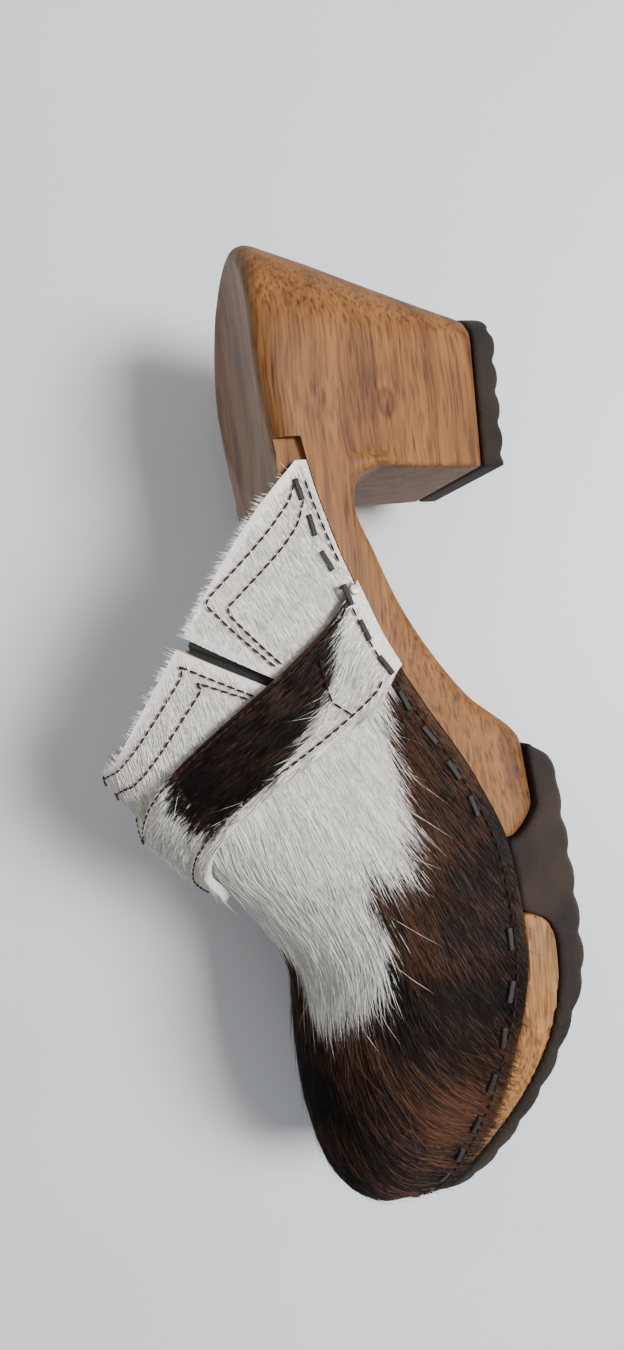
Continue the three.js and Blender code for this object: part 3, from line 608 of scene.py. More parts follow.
class Pattern:
    """A small mesh read once, whose copies fill one piece."""

    def __init__(self, piece):
        mesh = piece.data
        self.points = points_of(piece)
        self.starts = np.empty(len(mesh.polygons), np.int32)
        self.totals = np.empty(len(mesh.polygons), np.int32)
        self.corners = np.empty(len(mesh.loops), np.int32)
        mesh.polygons.foreach_get("loop_start", self.starts)
        mesh.polygons.foreach_get("loop_total", self.totals)
        mesh.loops.foreach_get("vertex_index", self.corners)
        bpy.data.objects.remove(piece, do_unlink=True)

    def piece(self, name, points):
        """One piece from the points of all copies, shaped (copies, points, 3)."""
        copies, size = points.shape[:2]
        shift = np.arange(copies, dtype=np.int32)[:, None]
        mesh = bpy.data.meshes.new(name)
        mesh.vertices.add(copies * size)
        mesh.loops.add(copies * len(self.corners))
        mesh.polygons.add(copies * len(self.starts))
        mesh.vertices.foreach_set("co", points.astype(np.float32).ravel())
        mesh.loops.foreach_set("vertex_index", (self.corners + shift * size).ravel())
        mesh.polygons.foreach_set("loop_start", (self.starts + shift * len(self.corners)).ravel())
        mesh.polygons.foreach_set("loop_total", np.tile(self.totals, copies))
        mesh.polygons.foreach_set("use_smooth", np.ones(copies * len(self.starts), bool))
        mesh.update(calc_edges=True)
        piece = bpy.data.objects.new(name, mesh)
        bpy.context.collection.objects.link(piece)
        return piece


# ---- Materials -------------------------------------------------------------------------------
def new_group(name, inputs, outputs):
    group = bpy.data.node_groups.new(name, "ShaderNodeTree")
    for label, kind, default in inputs:
        socket = group.interface.new_socket(label, in_out="INPUT", socket_type=kind)
        if default is not None:
            socket.default_value = default
    for label, kind in outputs:
        group.interface.new_socket(label, in_out="OUTPUT", socket_type=kind)
    return group, group.nodes.new("NodeGroupInput"), group.nodes.new("NodeGroupOutput")


def join_nodes(tree, *pairs):
    for source, target in pairs:
        tree.links.new(source, target)


def node(tree, kind, **settings):
    made = tree.nodes.new(kind)
    for key, value in settings.items():
        label = key.replace("_", " ")
        if label in made.inputs:
            made.inputs[label].default_value = value
        else:
            setattr(made, key, value)
    return made


def ramp(tree, *stops):
    made = tree.nodes.new("ShaderNodeValToRGB")
    elements = made.color_ramp.elements
    while len(elements) < len(stops):
        elements.new(0.5)
    for element, (place, colour) in zip(elements, stops):
        element.position = place
        element.color = (*colour, 1) if len(colour) == 3 else colour
    return made


def grain_group():
    """Long wood fibres and growth bands along the shoe, warped round a knot."""
    if "Wood grain" in bpy.data.node_groups:
        return bpy.data.node_groups["Wood grain"]
    inputs = [
        ("Vector", "NodeSocketVector", None), ("Bands", "NodeSocketFloat", 90.0),
        ("Warp", "NodeSocketFloat", 0.012), ("Knot", "NodeSocketVector", (0, 0, -1)),
    ]
    outputs = [
        ("Band", "NodeSocketFloat"), ("Fibre", "NodeSocketFloat"), ("Pore", "NodeSocketFloat"),
        ("Ring", "NodeSocketColor"),
    ]
    tree, given, out = new_group("Wood grain", inputs, outputs)
    wander = node(tree, "ShaderNodeTexNoise", Scale=22.0, Detail=2.0)
    centred = node(tree, "ShaderNodeVectorMath", operation="SUBTRACT")
    centred.inputs[1].default_value = (0.5, 0.5, 0.5)
    scaled = node(tree, "ShaderNodeVectorMath", operation="SCALE")
    added = node(tree, "ShaderNodeVectorMath", operation="ADD")
    flat = node(tree, "ShaderNodeMapping", Scale=(0.1, 1.0, 1.0))
    bands = node(tree, "ShaderNodeTexNoise", Detail=3.0, Roughness=0.6)
    thread = node(tree, "ShaderNodeMapping", Scale=(0.035, 1.0, 1.0))
    fibres = node(tree, "ShaderNodeTexNoise", Scale=1500.0, Detail=2.0)
    pin = node(tree, "ShaderNodeMapping", Scale=(0.09, 1.0, 1.0))
    pores = node(tree, "ShaderNodeTexVoronoi", Scale=900.0)
    deep = node(tree, "ShaderNodeMapRange", From_Min=0.32, From_Max=0.1)
    from_knot = node(tree, "ShaderNodeVectorMath", operation="SUBTRACT")
    drawn_out = node(tree, "ShaderNodeVectorMath", operation="MULTIPLY")
    drawn_out.inputs[1].default_value = (75.0, 90.0, 120.0)
    far = node(tree, "ShaderNodeVectorMath", operation="LENGTH")
    ring = ramp(
        tree, (0.0, (0.42, 0.36, 0.32)), (0.12, (0.75, 0.7, 0.66)), (0.26, (0.5, 0.43, 0.38)),
        (0.36, (0.95, 0.92, 0.9)), (0.62, (0.86, 0.83, 0.8)), (1.0, (1, 1, 1)),
    )
    join_nodes(
        tree, (given.outputs["Vector"], wander.inputs["Vector"]), (wander.outputs["Color"], centred.inputs[0]),
        (centred.outputs[0], scaled.inputs[0]), (given.outputs["Warp"], scaled.inputs["Scale"]),
        (scaled.outputs[0], added.inputs[0]), (given.outputs["Vector"], added.inputs[1]),
        (added.outputs[0], flat.inputs["Vector"]), (flat.outputs[0], bands.inputs["Vector"]),
        (given.outputs["Bands"], bands.inputs["Scale"]), (added.outputs[0], thread.inputs["Vector"]),
        (thread.outputs[0], fibres.inputs["Vector"]), (added.outputs[0], pin.inputs["Vector"]),
        (pin.outputs[0], pores.inputs["Vector"]), (pores.outputs["Distance"], deep.inputs["Value"]),
        (added.outputs[0], from_knot.inputs[0]), (given.outputs["Knot"], from_knot.inputs[1]),
        (from_knot.outputs[0], drawn_out.inputs[0]), (drawn_out.outputs[0], far.inputs[0]),
        (far.outputs["Value"], ring.inputs[0]), (ring.outputs[0], out.inputs["Ring"]),
        (bands.outputs["Fac"], out.inputs["Band"]), (fibres.outputs["Fac"], out.inputs["Fibre"]),
        (deep.outputs["Result"], out.inputs["Pore"]),
    )
    return tree


def speckle_group():
    """Fine light specks over a slow mottle, as in crumb rubber, worn metal and cut leather."""
    if "Speckle" in bpy.data.node_groups:
        return bpy.data.node_groups["Speckle"]
    inputs = [
        ("Vector", "NodeSocketVector", None), ("Scale", "NodeSocketFloat", 700.0),
        ("Amount", "NodeSocketFloat", 0.5),
    ]
    outputs = [("Speck", "NodeSocketFloat"), ("Mottle", "NodeSocketFloat")]
    tree, given, out = new_group("Speckle", inputs, outputs)
    fine = node(tree, "ShaderNodeTexNoise", Detail=4.0, Roughness=0.7)
    cut = node(tree, "ShaderNodeMapRange", From_Min=0.52, From_Max=0.72)
    share = node(tree, "ShaderNodeMath", operation="MULTIPLY")
    slow = node(tree, "ShaderNodeTexNoise", Scale=60.0, Detail=3.0)
    join_nodes(
        tree, (given.outputs["Vector"], fine.inputs["Vector"]), (given.outputs["Scale"], fine.inputs["Scale"]),
        (fine.outputs["Fac"], cut.inputs["Value"]), (cut.outputs["Result"], share.inputs[0]),
        (given.outputs["Amount"], share.inputs[1]), (given.outputs["Vector"], slow.inputs["Vector"]),
        (share.outputs[0], out.inputs["Speck"]), (slow.outputs["Fac"], out.inputs["Mottle"]),
    )
    return tree


def material(name, **settings):
    """A material with a Principled BSDF and its Object coordinates."""
    made = bpy.data.materials.new(name)
    made.use_nodes = True
    tree = made.node_tree
    surface = tree.nodes["Principled BSDF"]
    for key, value in settings.items():
        surface.inputs[key.replace("_", " ")].default_value = value
    return made, tree, surface, tree.nodes.new("ShaderNodeTexCoord").outputs["Object"]


def bump(tree, surface, height, strength, distance):
    made = node(tree, "ShaderNodeBump", Strength=strength, Distance=distance)
    join_nodes(tree, (height, made.inputs["Height"]), (made.outputs["Normal"], surface.inputs["Normal"]))


def wood_material(name, light, deep, streak, warp, knot=(0, 0, -1)):
    made, tree, surface, place = material(name, Roughness=0.6, Specular_IOR_Level=0.22)
    grain = node(tree, "ShaderNodeGroup", node_tree=grain_group(), Bands=streak, Warp=warp, Knot=knot)
    knotted = node(tree, "ShaderNodeMix", data_type="RGBA", blend_type="MULTIPLY", Factor=1)
    light, deep = np.array(light), np.array(deep)
    tones = ramp(tree, (0.3, deep), (0.47, lerp(deep, light, 0.55)), (0.6, light), (0.75, lerp(deep, light, 0.8)))
    fibre = ramp(tree, (0.34, (0.5, 0.46, 0.42)), (0.52, (0.94, 0.93, 0.92)), (0.66, (1.12, 1.1, 1.08)))
    shade = node(tree, "ShaderNodeMix", data_type="RGBA", blend_type="MULTIPLY", Factor=1)
    pore = node(tree, "ShaderNodeMix", data_type="RGBA", blend_type="MULTIPLY")
    pore.inputs[7].default_value = (0.5, 0.42, 0.36, 1)
    rough = node(tree, "ShaderNodeMapRange", To_Min=0.5, To_Max=0.72)
    join_nodes(
        tree, (place, grain.inputs["Vector"]), (grain.outputs["Band"], tones.inputs[0]),
        (grain.outputs["Fibre"], fibre.inputs[0]), (tones.outputs[0], shade.inputs[6]),
        (fibre.outputs[0], shade.inputs[7]), (grain.outputs["Pore"], pore.inputs["Factor"]),
        (shade.outputs[2], pore.inputs[6]), (pore.outputs[2], knotted.inputs[6]),
        (grain.outputs["Ring"], knotted.inputs[7]), (knotted.outputs[2], surface.inputs["Base Color"]),
        (grain.outputs["Fibre"], rough.inputs["Value"]), (rough.outputs["Result"], surface.inputs["Roughness"]),
    )
    bump(tree, surface, grain.outputs["Fibre"], 0.12, 0.0004)
    return made


def speckled_material(name, low, high, scale, amount, rough, strength, **settings):
    made, tree, surface, place = material(name, **settings)
    speckle = node(tree, "ShaderNodeGroup", node_tree=speckle_group(), Scale=scale, Amount=amount)
    tones = ramp(tree, (0.35, low), (0.65, lerp(np.array(low), np.array(high), 0.35)))
    specked = node(tree, "ShaderNodeMix", data_type="RGBA")
    specked.inputs[7].default_value = (*high, 1)
    dull = node(tree, "ShaderNodeMapRange", To_Min=rough[0], To_Max=rough[1])
    join_nodes(
        tree, (place, speckle.inputs["Vector"]), (speckle.outputs["Mottle"], tones.inputs[0]),
        (tones.outputs[0], specked.inputs[6]), (speckle.outputs["Speck"], specked.inputs["Factor"]),
        (specked.outputs[2], surface.inputs["Base Color"]), (speckle.outputs["Mottle"], dull.inputs["Value"]),
        (dull.outputs["Result"], surface.inputs["Roughness"]),
    )
    bump(tree, surface, speckle.outputs["Speck"], strength, 0.0003)
    return made


def toned_material(name, rough, dim):
    """Hair or skin that takes its colour from the vertices."""
    made, tree, surface, place = material(name, Roughness=rough, Specular_IOR_Level=0.2)
    tone = node(tree, "ShaderNodeAttribute", attribute_name="tone")
    fine = node(tree, "ShaderNodeTexNoise", Scale=900.0, Detail=3.0)
    shade = ramp(tree, (0.3, (dim, dim, dim)), (0.7, (1.0, 1.0, 1.0)))
    mixed = node(tree, "ShaderNodeMix", data_type="RGBA", blend_type="MULTIPLY", Factor=1)
    join_nodes(
        tree, (place, fine.inputs["Vector"]), (fine.outputs["Fac"], shade.inputs[0]),
        (tone.outputs["Color"], mixed.inputs[6]), (shade.outputs[0], mixed.inputs[7]),
        (mixed.outputs[2], surface.inputs["Base Color"]),
    )
    return made


def ribbed_material(name, low, high, ribs):
    """Elastic webbing: cords along the goring, with a fine weave over them."""
    made, tree, surface, place = material(name, Roughness=0.85)
    uv = node(tree, "ShaderNodeUVMap", uv_map="UVMap")
    wave = node(tree, "ShaderNodeTexWave", Scale=ribs, Distortion=0.4)
    weave = node(tree, "ShaderNodeTexNoise", Scale=2500.0, Detail=2.0)
    total = node(tree, "ShaderNodeMath", operation="ADD")
    tones = ramp(tree, (0.3, low), (0.7, high))
    join_nodes(
        tree, (uv.outputs[0], wave.inputs["Vector"]), (place, weave.inputs["Vector"]),
        (wave.outputs["Fac"], total.inputs[0]), (weave.outputs["Fac"], total.inputs[1]),
        (total.outputs[0], tones.inputs[0]), (tones.outputs[0], surface.inputs["Base Color"]),
    )
    bump(tree, surface, total.outputs[0], 0.6, 0.0004)
    return made


# Finishes made of specks: low and high colour, scale, amount, roughness, relief and the shader's own values.
SPECKLED = {
    "Crumb rubber": (None, (0.06, 0.04, 0.029), 1500.0, 0.5, (0.8, 0.95), 0.9, {"Specular_IOR_Level": 0.3}),
    "Cut edge": ((0.5, 0.4, 0.28), (0.75, 0.63, 0.48), 1800.0, 0.6, (0.8, 0.95), 0.6, {}),
    "Lining leather": ((0.42, 0.3, 0.19), (0.56, 0.43, 0.3), 1500.0, 0.4, (0.7, 0.85), 0.4, {}),
    "Waxed thread": (None, (0.05, 0.018, 0.011), 3500.0, 0.4, (0.75, 0.9), 0.5, {"Specular_IOR_Level": 0.2}),
    "Blackened steel": (
        (0.003, 0.0026, 0.0025), (0.045, 0.038, 0.034), 1700.0, 0.35, (0.5, 0.75), 0.5,
        {"Metallic": 0.15, "Specular_IOR_Level": 0.35},
    ),
    "Worn brass": ((0.42, 0.37, 0.27), (0.7, 0.64, 0.5), 900.0, 0.5, (0.3, 0.5), 0.3, {"Metallic": 0.7}),
}
KNOT = (-0.0765, 0.0295, 0.0313)  # its place in metres


def make_finish(name):
    colours = bpy.context.scene.clog_colours
    if name in SPECKLED:
        low, high, scale, amount, rough, relief, settings = SPECKLED[name]
        low = low or tuple({"Crumb rubber": colours.rubber, "Waxed thread": colours.thread}[name])
        return speckled_material(name, low, high, scale, amount, rough, relief, **settings)
    if name == "Oiled walnut":
        return wood_material(name, colours.light, colours.deep, 170.0, 0.006, KNOT)
    if name == "Oiled beech":
        return wood_material(name, colours.toe_light, colours.toe_deep, 190.0, 0.004)
    if name == "Elastic":
        return ribbed_material(name, (0.002, 0.002, 0.0025), (0.012, 0.012, 0.014), 14.0)
    rough, dim = {"Skin": (0.8, 0.75), "Hair": (0.48, 0.8)}[name]
    return toned_material(name, rough, dim)


def finish_named(name):
    return bpy.data.materials.get(name) or make_finish(name)


# ---- Hair ------------------------------------------------------------------------------------
def strand_pattern():
    """One hair: a three-sided taper in three lengths, one unit long along z."""
    bpy.ops.object.select_all(action="DESELECT")
    bpy.ops.mesh.primitive_cylinder_add(vertices=3, radius=1, depth=1 / 3, location=(0, 0, 1 / 6))
    piece = bpy.context.object
    only(piece)
    bpy.ops.object.transform_apply(location=True)

    def draw_out():
        bpy.ops.mesh.select_mode(type="FACE")
        bpy.ops.mesh.select_all(action="DESELECT")
        bpy.ops.object.mode_set(mode="OBJECT")
        for polygon in piece.data.polygons:
            polygon.select = polygon.normal.z > 0.9
        bpy.ops.object.mode_set(mode="EDIT")
        bpy.ops.mesh.extrude_region_move(TRANSFORM_OT_translate={"value": (0, 0, 1 / 3)})
        bpy.ops.transform.resize(value=(0.8, 0.8, 1))
        bpy.ops.mesh.extrude_region_move(TRANSFORM_OT_translate={"value": (0, 0, 1 / 3)})
        bpy.ops.mesh.merge(type="CENTER")

    edit(piece, draw_out)
    return Pattern(piece)


def strand_map(pattern):
    """A little flat layout of one hair's faces, each side over the same cell."""
    spots = np.zeros((len(pattern.corners), 2))
    for start, total in zip(pattern.starts, pattern.totals):
        corners = pattern.points[pattern.corners[start : start + total]]
        middle = corners[:, :2].mean(0)
        for i, (x, y, z) in enumerate(corners):
            turn = middle[0] * y - middle[1] * x
            spots[start + i] = (0.5 + 0.38 * np.sign(turn) * (abs(turn) > 1e-6), 0.1 + 0.8 * z)
        if np.ptp(corners[:, 2]) < 1e-6:
            spots[start : start + total] = [(0.1, 0.1), (0.9, 0.1), (0.5, 0.2)][: int(total)]
    return spots


def skin_samples(columns, rows, place, depth, count, rng):
    """Random points over a sheet, with their normals, u, v, station and across."""
    u, v = np.meshgrid(np.linspace(0, 1, columns + 1), np.linspace(0, 1, rows + 1), indexing="ij")
    station, across = place(u, v)
    points = upper(station, across, depth)
    a, b, c, d = points[:-1, :-1], points[1:, :-1], points[1:, 1:], points[:-1, 1:]
    normal = np.cross(c - a, d - b)
    area = np.linalg.norm(normal, axis=-1)
    chosen = rng.choice(area.size, count, p=(area / area.sum()).ravel())
    i, j = np.unravel_index(chosen, area.shape)
    s, t = rng.random(count), rng.random(count)
    uu, vv = (i + s) / columns, (j + t) / rows
    station, across = place(uu, vv)
    unit = normal[i, j] / np.maximum(area[i, j], 1e-9)[:, None]
    spots = upper(station, across, depth)
    centre = np.stack([lerp(spots[:, 0], 120, 0.2), np.zeros(count), np.full(count, CAVITY_HEIGHT)], -1)
    unit *= np.sign(np.einsum("ij,ij->i", unit, spots - centre))[:, None]
    return spots, unit, uu, vv, station, across


def unit_of(vectors):
    return vectors / np.maximum(np.linalg.norm(vectors, axis=-1, keepdims=True), 1e-9)


def lie_along(points, normals, flow, step, tree, lift):
    """The next point of each hair, on the skin unless it has left the edge, with the skin's normal there."""
    flat = unit_of(flow - normals * np.einsum("ij,ij->i", flow, normals)[:, None])
    aim = points + flat * step[:, None]
    landed, turned = np.empty_like(aim), normals.copy()
    for i, target in enumerate(aim):
        spot, normal, _, distance = tree.find_nearest(Vector(target))
        if spot is None or distance > 0.28 * step[i] + 0.5:
            landed[i] = target - normals[i] * 0.12 * step[i]
            continue
        if normals[i].dot(normal) < 0:
            normal = -normal
        landed[i] = spot
        turned[i] = normal
    return landed + turned * lift[:, None], turned


def grow_hair(
    name, pattern, piece_count, count, sheet, place, depth, flow, length, marking, seed, body, wild, tufted
):
    """Tufts of hair along the flow over a sheet, each hair in its own colour with painted shade at its root,
    shared out over pieces.
    """
    settings = bpy.context.scene.clog_hair
    rng = np.random.default_rng(seed)
    roots, normals, u, v, station, across = skin_samples(*sheet, place, depth, count, rng)
    tree = BVHTree.FromPolygons(*sheet_polygons(*sheet, place, depth))
    tuft = np.floor(roots / TUFT + rng.normal(0, 0.12, (count, 3)))
    key = (tuft @ np.array([73856093, 19349663, 83492791])).astype(np.int64) & 0xFFFF
    sway = (np.sin(key * 12.9898) * 43758.5453) % 1 - 0.5
    lean = (np.sin(key * 78.233) * 12543.123) % 1
    bend = tufted * sway + rng.normal(0, 0.09, count)
    stray = rng.random(count) < wild
    bend = np.where(stray, bend + rng.normal(0, 0.4, count), bend)
    drawn = length(station, across, u) * rng.uniform(0.65, 1.1, count) * np.where(stray, 1.2, 1)
    raised = rng.uniform(0.1, 0.8, count) * (0.5 + lean) + np.where(stray, rng.uniform(0.3, 1.8, count), 0)
    raised = raised * np.clip(drawn / 8, 0.25, 1)
    path = [roots - normals * 0.3]
    here, facing = roots, normals
    for share in (0.35, 0.7, 1.0):
        course = flow(here, facing, station, across, u)
        sideways = np.cross(facing, course)
        course = unit_of(course) + unit_of(sideways) * bend[:, None]
        lift = raised * share * (1.25 - 0.35 * share)
        below = here - facing * (raised * (share - 0.35) * 0.8)[:, None]
        here, facing = lie_along(below, facing, course, drawn / 3, tree, lift)
        path.append(here)
    path = np.stack(path, 1)
    tones = hide_colours(marking(station, across, u, roots), count, rng, 1.0)
    width = settings.width * 1000 * rng.uniform(0.7, 1.3, count) * np.where(stray, 0.55, 1)
    cell = strand_map(pattern)
    z = np.clip(np.rint(pattern.points[:, 2] * 3).astype(int), 0, 3)
    for part in range(piece_count):
        mine = np.arange(part, count, piece_count)
        way = unit_of(np.gradient(path[mine], axis=1))
        up = normals[mine][:, None] - way * np.einsum("ikj,ij->ik", way, normals[mine])[..., None]
        up = unit_of(up)
        across_way = np.cross(up, way)
        x, y = pattern.points[:, 0], pattern.points[:, 1]
        thick = width[mine][:, None, None] / 2
        points = path[mine][:, z] + thick * (x[:, None] * across_way[:, z] + y[:, None] * up[:, z])
        label = f"{name}_{part + 1}" if piece_count > 1 else name
        piece = pattern.piece(label, row(points))
        # Painted shade: each hair is darker at its root and lighter at its tip, standing in for the shade between
        # locks near the skin.
        shade = lerp(0.82, 1.1, pattern.points[:, 2])[None, :, None]
        tint(piece, np.clip(tones[mine][:, None] * shade, 0, 1).reshape(-1, 3))
        side = math.ceil(math.sqrt(len(mine)))
        corner = np.stack([np.arange(len(mine)) % side, np.arange(len(mine)) // side], -1)
        layer = piece.data.uv_layers.new(name="OFBake")
        layer.data.foreach_set("uv", ((corner[:, None] + cell[None]) / side).astype(np.float32).ravel())
        paint(piece, finish_named("Hair"))
        settle(piece, "hide", body)


def sheet_polygons(columns, rows, place, depth):
    u, v = np.meshgrid(np.linspace(0, 1, columns + 1), np.linspace(0, 1, rows + 1), indexing="ij")
    points = upper(*place(u, v), depth).reshape(-1, 3)
    at = np.arange((columns + 1) * (rows + 1)).reshape(columns + 1, rows + 1)
    quads = np.stack([at[:-1, :-1], at[1:, :-1], at[1:, 1:], at[:-1, 1:]], -1).reshape(-1, 4)
    return [Vector(p) for p in points], quads.tolist()


def forward_flow(down_rear, down_toe):
    """Hair that lies towards the toe and down the shoe's sides."""

    def flow(points, normals, station, across, u):
        fall = lerp(down_rear, down_toe, smooth(175, 225, points[:, 0])) * smooth(0.05, 0.75, np.abs(across))
        return unit_of(np.stack([np.ones(len(points)), np.zeros(len(points)), -fall], -1))

    return flow


def strap_flow(points, normals, station, across, u):
    """Hair that lies along the strap, from its lateral end over the crest."""
    ahead = upper(*strap_place(u, (1 - np.clip(across - 0.02, -1, 1)) / 2), -STRAP_TOP)
    behind = upper(*strap_place(u, (1 - np.clip(across + 0.02, -1, 1)) / 2), -STRAP_TOP)
    return unit_of(ahead - behind)


# ---- Fasteners and sewing --------------------------------------------------------------------
def seat_matrix(station, side, rise, depth):
    """Where a staple or tack sits: columns along the edge, outward and up, and the place on the leather."""
    station = min(station, SOLE_LENGTH)
    x, y, nx, ny = (float(c) for c in outline(station, side))
    height = leather_edge(x) + rise
    share = float(across_at_height(np.array(station), side, depth, height))
    middle = upper(station, side * share, depth)
    out = np.array([nx, ny, 0.0])
    bx, by = (float(c) for c in outline(station - 1, side)[:2])
    ax, ay = (float(c) for c in outline(min(station + 1, SOLE_LENGTH), side)[:2])
    along = np.array([ax - bx, ay - by, float(leather_edge(ax) - leather_edge(bx))])
    if station > SOLE_LENGTH - 1:
        along = np.array([-ny, nx, 0.0])
    along = unit_of(along - out * (along @ out))
    return along, out, np.cross(along, out), middle


def toe_arc(share):
    """Station and side at a share of the way round the toe's edge."""
    fine = np.append(np.arange(171, SOLE_LENGTH, 0.5), SOLE_LENGTH)
    stations = np.concatenate([fine, fine[::-1]])
    sides = np.concatenate([np.ones(len(fine)), -np.ones(len(fine))])
    x, y = outline(stations, sides)[:2]
    lengths = np.append(0, np.cumsum(np.hypot(np.diff(x), np.diff(y))))
    k = max(1, int(np.argmax(lengths >= share * lengths[-1] - 1e-6)))
    return stations[k], int(sides[k])


def staple_pattern():
    """One staple: a flat crown with softened edges and two legs that go into the leather."""
    bpy.ops.object.select_all(action="DESELECT")
    bpy.ops.mesh.primitive_cube_add(size=1)
    piece = bpy.context.object
    crown, thick, width = STAPLE
    move_points(piece, points_of(piece) * np.array(STAPLE) + np.array([0, 0.75, 0]))
    legs = []
    for way in (-1, 1):
        bpy.ops.mesh.primitive_cube_add(size=1)
        legs.append(bpy.context.object)
        shape, shift = np.array([thick, 3 * thick, width]), np.array([way * (crown - thick) / 2, -0.55, 0])
        move_points(legs[-1], points_of(legs[-1]) * shape + shift)
    bpy.ops.object.select_all(action="DESELECT")
    for part in (*legs, piece):
        part.select_set(True)
    bpy.context.view_layer.objects.active = piece
    bpy.ops.object.join()
    modify(piece, "REMESH", mode="VOXEL", voxel_size=0.2)
    modify(piece, "SMOOTH", factor=0.5, iterations=3)
    modify(piece, "DECIMATE", ratio=0.25)
    return Pattern(piece)


def place_staples(name, pattern, seats, nodes, body):
    copies = []
    for k, (along, out, up, middle) in enumerate(seats):
        tilt = 0.12 * math.sin(k * 2.3)
        turned = along * math.cos(tilt) + up * math.sin(tilt)
        raised = up * math.cos(tilt) - along * math.sin(tilt)
        local = pattern.points
        copies.append(middle + local[:, :1] * turned + local[:, 1:2] * out + local[:, 2:] * raised)
    piece = pattern.piece(name, row(np.stack(copies)))
    paint(piece, finish_named("Blackened steel"))
    return settle(piece, "staple", body, *nodes)


def stitch_pattern():
    """One stitch: a drop of thread, one unit long along z and thicker in the middle."""
    bpy.ops.object.select_all(action="DESELECT")
    bpy.ops.mesh.primitive_uv_sphere_add(segments=7, ring_count=6, radius=1)
    piece = bpy.context.object
    shaped = points_of(piece)
    move_points(piece, np.stack([shaped[:, 0], shaped[:, 1], shaped[:, 2] / 2 + 0.5], -1))
    return Pattern(piece)


def sewn_row(spots, pitch, fill):
    """Ends of the stitches along a line of points with normals."""
    points, normals = spots
    lengths = np.append(0, np.cumsum(np.linalg.norm(np.diff(points, axis=0), axis=1)))
    count = max(1, int(lengths[-1] / pitch))
    ends = []
    for k in range(count):
        pair = []
        for at in ((k + (1 - fill) / 2) / count, (k + (1 + fill) / 2) / count):
            where = at * lengths[-1]
            pair.append(
                (
                    [np.interp(where, lengths, points[:, i]) for i in range(3)],
                    [np.interp(where, lengths, normals[:, i]) for i in range(3)],
                )
            )
        ends.append(pair)
    return ends


def line_on(knots, depth, place=None, steps=90):
    """Points and outward normals along a line through knots of station and across, or of u and v of a place."""
    knots = np.asarray(knots, float)
    lengths = np.append(0, np.cumsum(np.hypot(np.diff(knots[:, 0]) / 40, np.diff(knots[:, 1]))))
    at = np.linspace(0, lengths[-1], steps)
    first, second = np.interp(at, lengths, knots[:, 0]), np.interp(at, lengths, knots[:, 1])
    station, across = place(first, second) if place else (first, second)
    points = upper(station, across, depth)
    normals = unit_of(upper(station, across, depth - 1) - upper(station, across, depth + 1))
    return points, normals


def place_stitches(name, pattern, rows, thick, body):
    ends = [pair for one in rows for pair in one]
    start = np.array([pair[0][0] for pair in ends])
    stop = np.array([pair[1][0] for pair in ends])
    normal = unit_of(np.array([pair[0][1] for pair in ends]) + np.array([pair[1][1] for pair in ends]))
    way = stop - start
    along = unit_of(way)
    up = unit_of(normal - along * np.einsum("ij,ij->i", along, normal)[:, None])
    side = np.cross(up, along)
    x, y, z = (column[None, :, None] for column in pattern.points.T)
    bow = (1 - (2 * z - 1) ** 2) * 0.25 * thick
    points = (
        start[:, None] + way[:, None] * z + up[:, None] * bow
        + thick / 2 * (x * side[:, None] + y * up[:, None])
    )
    piece = pattern.piece(name, row(points))
    paint(piece, finish_named("Waxed thread"))
    return settle(piece, "hide", body)


# ---- Sizes and colours that a user may change ------------------------------------------------
class ClogColours(bpy.types.PropertyGroup):
    """Colours of the wood, rubber, hide and thread."""

    def colour(label, told, value):
        limits = {"size": 3, "min": 0, "max": 1}
        return FloatVectorProperty(name=label, description=told, subtype="COLOR", default=value, **limits)

    light: colour("Light wood", "Palest bands of the rear piece", (0.2, 0.085, 0.024))
    deep: colour("Deep wood", "Darkest bands of the rear piece", (0.092, 0.036, 0.0105))
    toe_light: colour("Light toe wood", "Palest bands of the toe piece", (0.28, 0.135, 0.047))
    toe_deep: colour("Deep toe wood", "Darkest bands of the toe piece", (0.19, 0.085, 0.028))
    rubber: colour("Rubber", "Moulded sole and heel lift", (0.009, 0.006, 0.0045))
    pale: colour("White hair", "Pale markings of the hide", (0.92, 0.905, 0.88))
    dark: colour("Dark hair", "Dark markings of the hide", (0.0125, 0.008, 0.0065))
    brown: colour("Brown hair", "Brindle in the dark markings", (0.088, 0.038, 0.02))
    thread: colour("Thread", "Waxed sewing thread", (0.016, 0.005, 0.0035))
    del colour


class ClogHair(bpy.types.PropertyGroup):
    """Length, width and number of the hairs."""

    vamp_length: FloatProperty(
        name="Vamp hair", description="Length of the vamp's hair", default=0.0145, unit="LENGTH"
    )
    strap_length: FloatProperty(
        name="Strap hair", description="Length of the strap's hair", default=0.010, unit="LENGTH"
    )
    collar_length: FloatProperty(
        name="Collar hair", description="Length of the collars' hair", default=0.0075, unit="LENGTH"
    )
    width: FloatProperty(name="Hair width", description="Thickness of one lock", default=0.00016, unit="LENGTH")
    vamp_count: IntProperty(name="Vamp hairs", description="Hairs on the vamp", default=43000)
    strap_count: IntProperty(name="Strap hairs", description="Hairs on the strap", default=12300)
    collar_count: IntProperty(name="Collar hairs", description="Hairs on the larger collar", default=12300)
    fringe_count: IntProperty(
        name="Fringe hairs", description="Hairs that stand past the lateral collar's edge", default=600
    )


class ClogSewing(bpy.types.PropertyGroup):
    """Thread and stitches."""

    pitch: FloatProperty(name="Pitch", description="Distance between stitches", default=0.0023, unit="LENGTH")
    thick: FloatProperty(name="Thread", description="Thickness of the thread", default=0.00052, unit="LENGTH")


